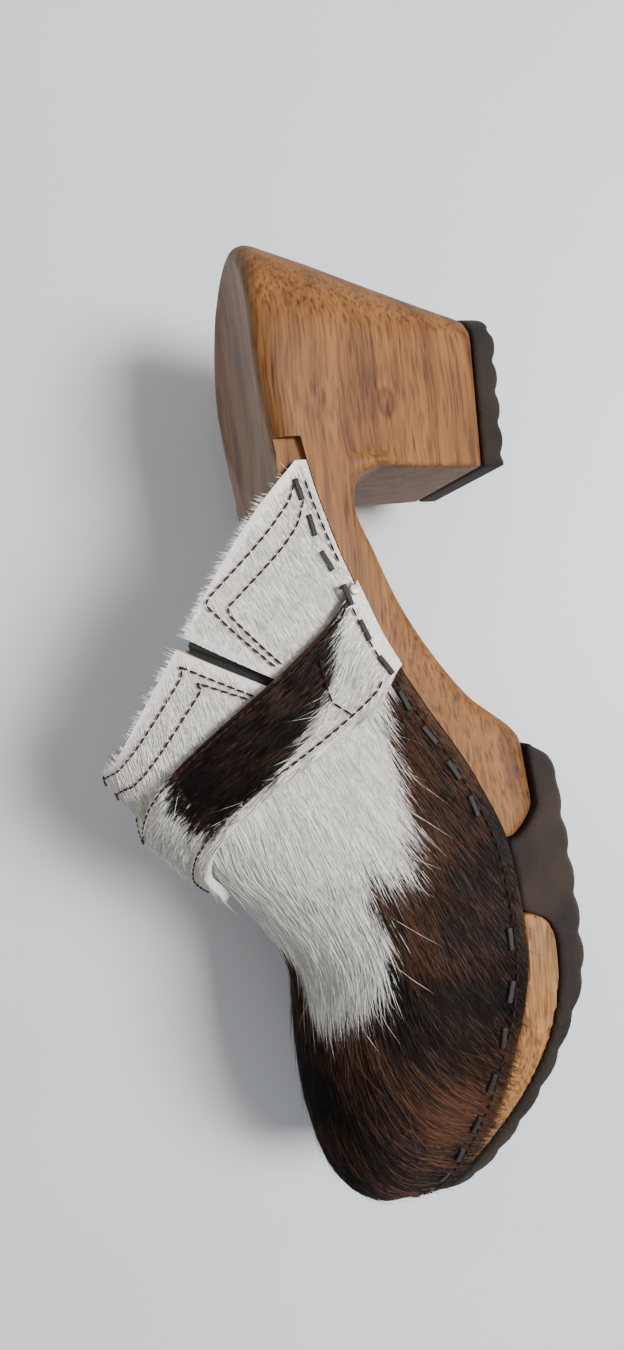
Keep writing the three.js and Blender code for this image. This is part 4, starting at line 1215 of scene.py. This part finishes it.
class ClogStudio(bpy.types.PropertyGroup):
    """Camera, lights and floor."""

    lens: FloatProperty(name="Lens", description="Focal length", default=27.47, subtype="DISTANCE_CAMERA")
    tilt: FloatProperty(
        name="Roll", description="How far the clog rolls off its side", default=math.radians(13.5), subtype="ANGLE"
    )
    turn: FloatProperty(
        name="Turn", description="Turn of the clog in the view", default=math.radians(5), subtype="ANGLE"
    )
    away: FloatProperty(name="Distance", description="Distance of the camera", default=0.262, unit="LENGTH")
    key: FloatProperty(name="Key light", description="Power of the key light", default=27.0)
    fill: FloatProperty(name="Fill light", description="Power of the weak lights", default=4.0)
    sky: FloatProperty(name="Sky", description="Strength of the even light", default=0.42)
    floor: FloatVectorProperty(
        name="Floor", description="Colour of the floor", subtype="COLOR", size=3, default=(0.6, 0.62, 0.64)
    )


# ---- Operators -------------------------------------------------------------------------------
class CLOG_OT_rear_wood(bpy.types.Operator):
    """Turn the rear piece of the sole: heel, waist and hollowed seat, with the step for the leather"""

    bl_idname = "clog.rear_wood"
    bl_label = "Rear wood"

    def execute(self, context):
        full = ARCH_HEIGHT + 3
        rings = []
        heights = [*np.linspace(LIFT + GAP, SEAT_HEIGHT - 6, 24)]
        heights += [*np.linspace(SEAT_HEIGHT - 5.5, SEAT_HEIGHT + 1, 14)]
        for height in (*heights, SEAT_HEIGHT + 5):
            grown = np.clip((height - LIFT) / (full - LIFT), 0, 1)
            back = lerp(HEEL_BACK_FOOT, SEAT_BACK, np.clip((height - LIFT) / (SEAT_HEIGHT - LIFT), 0, 1))
            ring = []
            for side in (LATERAL, MEDIAL):
                x = np.linspace(BREAST_X, HEEL_ROUND, 12)
                y = lerp(HEEL_FOOT_HALF, half_width(x, side), grown)
                turn = np.linspace(0, math.pi / 2, 26)[1:]
                x = np.append(x, lerp(HEEL_ROUND, back, np.sin(turn)))
                y = np.append(y, y[-1] * np.cos(turn))
                turn = np.append(np.zeros(12), turn)
                near = np.clip((height - wood_top(x)) / SEAT_EDGE + 1, 0, 1)
                inset = SEAT_EDGE * (1 - np.sqrt(1 - near**2))
                x, y = x + inset * np.sin(turn), side * np.maximum(y - inset * np.cos(turn), 0)
                points = [(a, b, height) for a, b in zip(x, y)]
                ring += points if side == LATERAL else points[::-1]
            rings.append(ring)
        wood = loft("rear_wood_turned", rings)

        def waist_section(station, side):
            low = float(arch_bottom(station))
            corner = rounded_corner(0, low, min(3.2, 0.3 * float(wood_top(station) - low)))
            return [(0, float(wood_top(station)) + 5), *corner, (14, low)]

        places = np.arange(BREAST_X - 2, REAR_WOOD_END + 0.01, (REAR_WOOD_END - BREAST_X + 2) / 88)
        combine(wood, loft("waist", section_rings(places, waist_section)), "UNION")

        def bed(u, v):
            x, y = lerp(SEAT_BACK - 8, REAR_WOOD_END + 6, u), lerp(-60, 60, v)
            rim_x = (x - HEEL_ROUND - 1) / (HEEL_ROUND - 6)
            hollow = 2.4 * np.clip(1 - rim_x**2 - (y / 26) ** 2, 0, 1) ** 0.7
            ball = 1.4 * smooth(105, 145, x) * np.clip(1 - (y / 30) ** 2, 0, 1)
            return np.stack([x, y, wood_top(np.clip(x, SEAT_BACK, REAR_WOOD_END)) - hollow - ball], -1)

        cutter = grid("bed", 90, 60, bed)
        modify(cutter, "SOLIDIFY", thickness=0.05, offset=1)
        if cutter.data.polygons[0].normal.z > 0:
            edit(cutter, face_out)
        if points_of(cutter)[:, 2].min() < 0.0:
            raise RuntimeError("the seat's cutter reaches the floor")
        combine(wood, cutter, "DIFFERENCE")
        round_off(wood, 0.9, 7)
        for side in (LATERAL, MEDIAL):
            places = np.linspace(REBATE_START, REAR_WOOD_END + 5, 90)
            rings = []
            for station in places:
                low = float(leather_edge(station)) - GAP
                ring = []
                for inset, height in ((-6, low), (-6, 200), (REBATE_DEPTH, 200), (REBATE_DEPTH, low)):
                    x, y = outline(station, side, inset)[:2]
                    ring.append((float(x), float(y), height))
                rings.append(ring)
            combine(wood, loft("step", rings), "DIFFERENCE")
        shade_smooth(wood, 40)
        paint(wood, finish_named("Oiled walnut"))
        settle(wood, "wood", "rear", "rear_wood")
        return {"FINISHED"}


class CLOG_OT_toe_wood(bpy.types.Operator):
    """Turn the toe piece of the sole"""

    bl_idname = "clog.toe_wood"
    bl_label = "Toe wood"

    def execute(self, context):
        def section(station, side):
            x = float(outline(station, side)[0])
            step = float(leather_edge(x)) - GAP
            low = min(float(toe_bottom(x)), step - GAP)
            top = float(wood_top(x))
            return [(16, top), (REBATE_DEPTH, top), (REBATE_DEPTH, step), (0, step), (0, low), (10, low)]

        places = [*np.linspace(TOE_WOOD_START, TOE_START, 14), *np.linspace(TOE_START, SOLE_LENGTH, 90)[1:]]
        wood = loft("toe_wood_turned", section_rings(places, section))
        round_off(wood, 0.8, 3)
        shade_smooth(wood, 40)
        paint(wood, finish_named("Oiled beech"))
        settle(wood, "wood", "toe", "toe_wood")
        return {"FINISHED"}


def scallop(x, pitch, deep):
    return deep * (1 - np.abs(np.sin(np.pi * x / pitch))) ** 1.3


class CLOG_OT_rubber(bpy.types.Operator):
    """Mould the rubber forefoot, which joins the two pieces of wood, and the heel's lift"""

    bl_idname = "clog.rubber"
    bl_label = "Rubber sole and lift"

    def execute(self, context):
        def section(station, side):
            x = float(outline(station, side)[0])
            under = float(tread_bottom(x))
            edge = float(leather_edge(x)) - GAP
            rear_end, toe_end = REAR_WOOD_END + GAP, TOE_WOOD_START - GAP
            if x < rear_end:
                inner = outer = float(arch_bottom(x)) - GAP / 2
            elif x > toe_end:
                inner = outer = min(float(toe_bottom(x)), edge - GAP) - GAP / 2
            else:
                inner, outer = float(wood_top(x)) - GAP, edge
            rib = float(scallop(x - TREAD_START, *TREAD_RIBS))
            rib *= float(smooth(TREAD_START + 6, TREAD_START + 12, x))
            low = min(under + 2.8 + rib, outer - 0.9)
            reach = min(8.0, abs(float(outline(station, side)[1])) * 0.8)
            return [
                (16, inner), (REBATE_DEPTH, inner), (REBATE_DEPTH, outer), (-PROUD, outer),
                (-PROUD - 0.2, lerp(outer, low, 0.5)), (-PROUD, low),
                (lerp(-PROUD, reach, 0.35), under + rib + 0.9), (reach, under + rib),
            ]

        places = [
            *np.arange(TREAD_START, REAR_WOOD_END, 0.7), REAR_WOOD_END + 0.05, REAR_WOOD_END + GAP + 0.05,
            *np.arange(REAR_WOOD_END + 1, TOE_WOOD_START - 1, 0.7),
            TOE_WOOD_START - GAP - 0.05, TOE_WOOD_START - 0.05,
            *np.arange(TOE_WOOD_START + 0.5, TOE_START, 0.7), *np.linspace(TOE_START, SOLE_LENGTH, 130),
        ]
        sole = loft("rubber_forefoot", section_rings(places, section))
        round_off(sole, 0.8, 4)
        shade_smooth(sole)
        paint(sole, finish_named("Crumb rubber"))
        settle(sole, "rubber", "both", "ball_outsole", "flex_bridge", "toe_outsole")

        rings = []
        for x in np.linspace(HEEL_BACK_FOOT + 0.05, BREAST_X, 66):
            back = np.clip((HEEL_ROUND - x) / (HEEL_ROUND - HEEL_BACK_FOOT), 0, 1)
            half = HEEL_FOOT_HALF * math.sqrt(1 - back * back) + 0.35
            rib = float(scallop(x - HEEL_BACK_FOOT, *LIFT_RIBS))
            corners = (
                (0.7 * half, LIFT), (half, LIFT), (half + 0.1, LIFT / 2), (half, rib + 0.8), (half - 1, rib),
                (0.7 * half, rib),
            )
            rings.append([(x, y, z) for y, z in corners] + [(x, -y, z) for y, z in corners[::-1]])
        lift = loft("heel_lift_moulded", rings)
        round_off(lift, 0.7, 3)
        shade_smooth(lift)
        paint(lift, finish_named("Crumb rubber"))
        settle(lift, "rubber", "rear", "heel_lift")
        return {"FINISHED"}


def hide_piece(name, columns, rows, place, depth, thickness, marking, seed, body, node_name, rim=1):
    """A leather sheet with its markings and a pale cut edge."""
    spots = {}

    def on_upper(u, v):
        station, across = place(u, v)
        points = upper(station, across, depth)
        spots.update(station=station, across=across, u=u, points=points)
        return points

    piece = grid(name, columns, rows, on_upper)
    rng = np.random.default_rng(seed)
    count = len(spots["u"])
    shares = marking(spots["station"], spots["across"], spots["u"], spots["points"])
    tint(piece, 0.8 * hide_colours(shares, count, rng, 0.0))
    edit(piece, weld)
    outward(piece)
    paint(piece, finish_named("Skin"), finish_named("Cut edge"))
    sheet_from(piece, thickness, rim)
    return settle(piece, "hide", body, node_name)


class CLOG_OT_hide(bpy.types.Operator):
    """Cut the vamp, the two collars and the strap from hide"""

    bl_idname = "clog.hide"
    bl_label = "Leather"

    def execute(self, context):
        strap = STRAP_TOP - STRAP_UNDER
        plain = collar_marking
        hide_piece("vamp_hide", 150, 120, vamp_place, 0, LEATHER, vamp_marking, 1, "both", "vamp")
        hide_piece("collar_lateral_hide", 44, 36, lateral_place, 0, LEATHER, plain, 2, "rear", "collar_lateral")
        hide_piece("collar_medial_hide", 120, 36, medial_place, 0, LEATHER, plain, 3, "rear", "collar_medial")
        hide_piece("strap_hide", 26, 180, strap_place, -STRAP_TOP, strap, strap_marking, 4, "rear", "strap", 0)
        return {"FINISHED"}


class CLOG_OT_lining(bpy.types.Operator):
    """Line the upper and set the elastic between the collars"""

    bl_idname = "clog.lining"
    bl_label = "Lining and elastic"

    def execute(self, context):
        back, depth = LEATHER_START + LINING_SETBACK, LINING_DEPTH
        sheets = (
            ("vamp_lining", 110, 80, lambda u, v: vamp_place(u, v, True, depth), "both"),
            ("collar_lateral_lining", 40, 30, lambda u, v: lateral_place(u, v, back, True, depth), "rear"),
            ("collar_medial_lining", 110, 30, lambda u, v: medial_place(u, v, back, True, depth), "rear"),
        )
        for name, columns, rows, place, body in sheets:
            piece = grid(f"{name}_leather", columns, rows, lambda u, v, place=place: upper(*place(u, v), depth))
            edit(piece, weld)
            outward(piece)
            sheet_from(piece, 0.8)
            paint(piece, finish_named("Lining leather"))
            settle(piece, "lining", body, name)

        def gore_depth(u):
            """Sunk under the collars, and raised where the elastic shows between them."""
            return 2.4 - 1.9 * np.exp(-(((u - 0.5) * GORE_WIDTH / 1.1) ** 4))

        gore = grid("elastic_gore_woven", 64, 40, lambda u, v: upper(*gore_place(u, v), gore_depth(u)))
        outward(gore)
        sheet_from(gore, 1.0)
        paint(gore, finish_named("Elastic"))
        settle(gore, "elastic", "rear", "elastic_gore")
        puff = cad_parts["toe_puff"]
        paint(puff, finish_named("Lining leather"))
        return {"FINISHED"}


class CLOG_OT_fasteners(bpy.types.Operator):
    """Drive the staples round the sole's edge and finish the two tacks"""

    bl_idname = "clog.fasteners"
    bl_label = "Staples and tacks"

    def execute(self, context):
        pattern = staple_pattern()
        for word, side in (("lateral", LATERAL), ("medial", MEDIAL)):
            seats = []
            for i in range(10):
                station = lerp(*STAPLE_SPAN, i / 9)
                on_strap = STRAP_FOOT[0] < station < STRAP_FOOT[1]
                seats.append(seat_matrix(station, side, STAPLE_RISE, -STRAP_TOP if on_strap else 0))
            names = [f"staple_rear_{word}_{i + 1}" for i in range(10)]
            place_staples(f"staples_{word}", pattern, seats, names, "rear")
        seats = [seat_matrix(*toe_arc(i / 18), STAPLE_RISE, 0) for i in range(19)]
        place_staples("staples_toe", pattern, seats, [f"staple_toe_{i + 1}" for i in range(19)], "toe")
        for word in ("lateral", "medial"):
            paint(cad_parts[f"strap_tack_{word}"], finish_named("Worn brass"))
        return {"FINISHED"}


class CLOG_OT_sewing(bpy.types.Operator):
    """Sew the edges of the strap, the collars and the vamp"""

    bl_idname = "clog.sewing"
    bl_label = "Stitching"

    def execute(self, context):
        sewing = context.scene.clog_sewing
        pitch, thick = sewing.pitch * 1000, sewing.thick * 1000
        pattern = stitch_pattern()
        high = -STRAP_TOP - 0.9

        def strap_row(u, start=0.03, stop=0.97):
            return sewn_row(line_on([(u, start), (u, stop)], high, strap_place, 200), pitch, STITCH_FILL)

        front, rear = strap_row(0.88, 0.055), strap_row(0.07)
        low = sewn_row(line_on([(0.12, 0.035), (0.86, 0.035)], high, strap_place, 40), pitch, STITCH_FILL)
        seam = sewn_row(line_on([(107, 0.77), (116.5, 0.742), (120, 0.768)], high), pitch, STITCH_FILL)
        place_stitches("strap_stitches", pattern, [front, rear, low, seam], thick, "rear")

        level = -0.9
        lateral = [
            [(67.5, 0.9), (79, 0.755), (92.5, 0.578), (108, 0.672)],
            [(71.5, 0.92), (82, 0.79), (94.5, 0.618), (107.5, 0.687)],
            [(67, 0.955), (76, 0.965), (86, 0.975)],
        ]
        rows = [sewn_row(line_on(knots, level), pitch, STITCH_FILL) for knots in lateral]
        place_stitches("collar_lateral_stitches", pattern, rows, thick, "rear")
        rise, fall = np.linspace(107, PEAK_X, 12), np.linspace(PEAK_X, 66, 30)

        def along_opening(ahead, below):
            up = [(x + ahead, a) for x, a in zip(rise, opening_across(rise, 1.0) + below)]
            down = [(x + ahead, -a) for x, a in zip(fall, opening_across(fall, -1.0) + below)]
            return [*up, (PEAK_X + ahead + 2, 0.0), *down]

        medial = [
            [(114, 0.6), (105.5, 0.47), *along_opening(0.4, 0.05)],
            [(114.5, 0.585), (109.5, 0.49), *along_opening(4, 0.075)],
            [(67, -0.97), (78, -0.97), (89, -0.97)],
        ]
        rows = [sewn_row(line_on(knots, level, steps=260), pitch, STITCH_FILL) for knots in medial]
        place_stitches("collar_medial_stitches", pattern, rows, thick, "rear")
        share = np.linspace(0, 1, 60)
        out = [(lerp(113, SOLE_LENGTH, s), 0.955) for s in share]
        home = [(lerp(SOLE_LENGTH, 113, s), -0.955) for s in share]
        rows = [sewn_row(line_on(knots, level + 0.2, steps=300), 2.6, 0.62) for knots in (out, home)]
        place_stitches("vamp_stitches", pattern, rows, 0.55, "both")
        return {"FINISHED"}


class CLOG_OT_hair(bpy.types.Operator):
    """Grow the hide's hair in its lie over vamp, collars and strap"""

    bl_idname = "clog.hair"
    bl_label = "Hair"

    def execute(self, context):
        hair = context.scene.clog_hair
        pattern = strand_pattern()

        def clipped(length, front=1.0):
            """Hair that gets shorter towards the edge that is nailed down, and by front towards the toe."""

            def cut(station, across, u):
                room = 1.3 + 1.2 * OVERLAP * (1 - np.abs(across)) / (1 - WALL_SHARE)
                return np.minimum(1000 * length * lerp(1, front, smooth(185, 235, station)), room)

            return cut

        def short_of_gore(station, across, u):
            return np.minimum(clipped(hair.collar_length)(station, across, u), 1 + 30 * (1 - u))

        def along_strap(station, across, u):
            return np.minimum(1000 * hair.strap_length, 1.2 + 80 * (1 + across))

        forward, even = forward_flow(0.5, 1.5), forward_flow(0.5, 0.5)

        def past_edge(points, normals, station, across, u):
            return unit_of(np.tile([-0.25, 0.0, 1.0], (len(u), 1)))

        def fringe(station, across, u):
            return np.full(len(u), FRINGE)

        def lateral_rim(u, v):
            return lateral_place(u, 0.965 + 0.035 * v)

        def medial_rim(u, v):
            return medial_place(u, 0.965 + 0.035 * v)

        many, few = hair.collar_count, hair.fringe_count
        vamp, collar, plain = clipped(hair.vamp_length, 0.8), clipped(hair.collar_length), collar_marking
        top = -STRAP_TOP
        # Pieces, hairs, sheet, place, depth, lie, length, marking, seed, body, share of stray hairs, tufting.
        coats = {
            "vamp_hair": (
                4, hair.vamp_count, (110, 90), vamp_place, 0, forward, vamp, vamp_marking, 11, "both", 0.03, 0.26
            ),
            "strap_hair": (
                1, hair.strap_count, (20, 140), strap_place, top, strap_flow, along_strap, strap_marking,
                12, "rear", 0.03, 0.2,
            ),
            "collar_lateral_hair": (
                1, int(0.55 * many), (40, 32), lateral_place, 0, even, short_of_gore, plain,
                13, "rear", 0.012, 0.16,
            ),
            "collar_medial_hair": (
                1, many, (100, 32), medial_place, 0, even, collar, plain, 14, "rear", 0.012, 0.16
            ),
            "collar_lateral_fringe": (
                1, few, (40, 2), lateral_rim, 0, past_edge, fringe, plain, 15, "rear", 0.1, 0.5
            ),
            "collar_medial_fringe": (
                1, 2 * few, (100, 2), medial_rim, 0, past_edge, fringe, plain, 16, "rear", 0.1, 0.5
            ),
        }
        for name, coat in coats.items():
            grow_hair(name, pattern, *coat)
        return {"FINISHED"}


class CLOG_OT_studio(bpy.types.Operator):
    """Set the camera, the pale floor that the clog lies on, and soft lights"""

    bl_idname = "clog.studio"
    bl_label = "Camera, floor and lights"

    def execute(self, context):
        studio = context.scene.clog_studio
        tilt, turn = studio.tilt, studio.turn
        view = Vector((0, -math.cos(tilt), -math.sin(tilt)))
        rise = Vector((0, -math.sin(tilt), math.cos(tilt)))
        ahead = Vector((1, 0, 0))
        right = ahead * math.sin(turn) - rise * math.cos(turn)
        down = ahead * math.cos(turn) + rise * math.sin(turn)
        target = Vector((-0.0152, 0, 0.0475))
        camera = bpy.data.objects.new("camera", bpy.data.cameras.new("camera"))
        context.scene.collection.objects.link(camera)
        camera.data.lens, camera.data.sensor_width = studio.lens, 36
        camera.data.clip_start, camera.data.clip_end = 0.01, 20
        turned = Matrix((right, -down, -view)).transposed().to_4x4()
        camera.matrix_world = Matrix.Translation(target - view * studio.away) @ turned
        context.scene.camera = camera

        names = ("rear_wood", "toe_outsole", "flex_bridge", "collar_medial", "vamp", "strap")
        spots = (vertex.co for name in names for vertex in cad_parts[name].data.vertices)
        lowest = min(spot.dot(-view) for spot in spots)
        bpy.ops.object.select_all(action="DESELECT")
        bpy.ops.mesh.primitive_grid_add(x_subdivisions=8, y_subdivisions=8, size=5)
        floor = named(bpy.context.object, "floor")
        floor.data.transform(turned)
        floor.data.transform(Matrix.Translation(-view * (lowest - 0.0006)))
        paint(floor, floor_material(studio.floor))
        floor.visible_shadow = False

        lights = (
            ("key_light", target - view * 0.95 + right * 0.6 - down * 0.1, 0.34, studio.key),
            ("fill_light", target - view * 1.0 - down * 0.3, 0.8, studio.fill * 0.6),
            ("far_light", target + view * 0.9 - right * 0.4, 0.8, studio.fill),
            ("sole_light", target + right * 1.1 + view * 0.3, 0.7, studio.fill * 0.6),
        )
        for name, place, size, power in lights:
            lamp = bpy.data.objects.new(name, bpy.data.lights.new(name, "AREA"))
            context.scene.collection.objects.link(lamp)
            lamp.data.size, lamp.data.energy = size, power
            lamp.location = place
            lamp.rotation_mode = "QUATERNION"
            lamp.rotation_quaternion = (target - place).to_track_quat("-Z", "Y")
        world = bpy.data.worlds.new("even light")
        world.use_nodes = True
        world.node_tree.nodes["Background"].inputs["Color"].default_value = (0.95, 0.97, 1.0, 1)
        world.node_tree.nodes["Background"].inputs["Strength"].default_value = studio.sky
        context.scene.world = world
        return {"FINISHED"}


def floor_material(colour):
    """Pale stone, faintly clouded, that is see-through from behind."""
    made, tree, surface, place = material("Pale floor", Roughness=0.5)
    cloud = node(tree, "ShaderNodeTexNoise", Scale=7.0, Detail=5.0)
    tones = ramp(tree, (0.3, tuple(0.94 * c for c in colour)), (0.7, tuple(colour)))
    clear = tree.nodes.new("ShaderNodeBsdfTransparent")
    mixed = tree.nodes.new("ShaderNodeMixShader")
    geometry = tree.nodes.new("ShaderNodeNewGeometry")
    join_nodes(
        tree, (place, cloud.inputs["Vector"]), (cloud.outputs["Fac"], tones.inputs[0]),
        (tones.outputs[0], surface.inputs["Base Color"]), (geometry.outputs["Backfacing"], mixed.inputs[0]),
        (surface.outputs[0], mixed.inputs[1]), (clear.outputs[0], mixed.inputs[2]),
        (mixed.outputs[0], tree.nodes["Material Output"].inputs["Surface"]),
    )
    return made


OPERATORS = (
    CLOG_OT_studio, CLOG_OT_rear_wood, CLOG_OT_toe_wood, CLOG_OT_rubber, CLOG_OT_hide, CLOG_OT_lining,
    CLOG_OT_fasteners, CLOG_OT_sewing, CLOG_OT_hair,
)


class CLOG_PT_panel(bpy.types.Panel):
    """Steps that make the clog, in order"""

    bl_label = "Wooden clog"
    bl_idname = "CLOG_PT_panel"
    bl_space_type = "VIEW_3D"
    bl_region_type = "UI"
    bl_category = "Clog"

    def draw(self, context):
        for operator in OPERATORS:
            self.layout.operator(operator.bl_idname)
        for group in ("clog_colours", "clog_hair", "clog_sewing", "clog_studio"):
            settings = getattr(context.scene, group)
            box = self.layout.box()
            for key in settings.bl_rna.properties.keys():
                if key not in ("rna_type", "name"):
                    box.prop(settings, key)


GROUPS = {"clog_colours": ClogColours, "clog_hair": ClogHair, "clog_sewing": ClogSewing, "clog_studio": ClogStudio}
CLASSES = (*GROUPS.values(), *OPERATORS, CLOG_PT_panel)


def register():
    for kind in CLASSES:
        bpy.utils.register_class(kind)
    for name, kind in GROUPS.items():
        setattr(bpy.types.Scene, name, PointerProperty(type=kind))


def unregister():
    for name in GROUPS:
        delattr(bpy.types.Scene, name)
    for kind in reversed(CLASSES):
        bpy.utils.unregister_class(kind)


def main():
    register()
    for operator in OPERATORS:
        step = operator.bl_idname.split(".")[1]
        if getattr(bpy.ops.clog, step)() != {"FINISHED"}:
            raise RuntimeError(f"{step} did not finish")


if __name__ == "__main__":
    main()
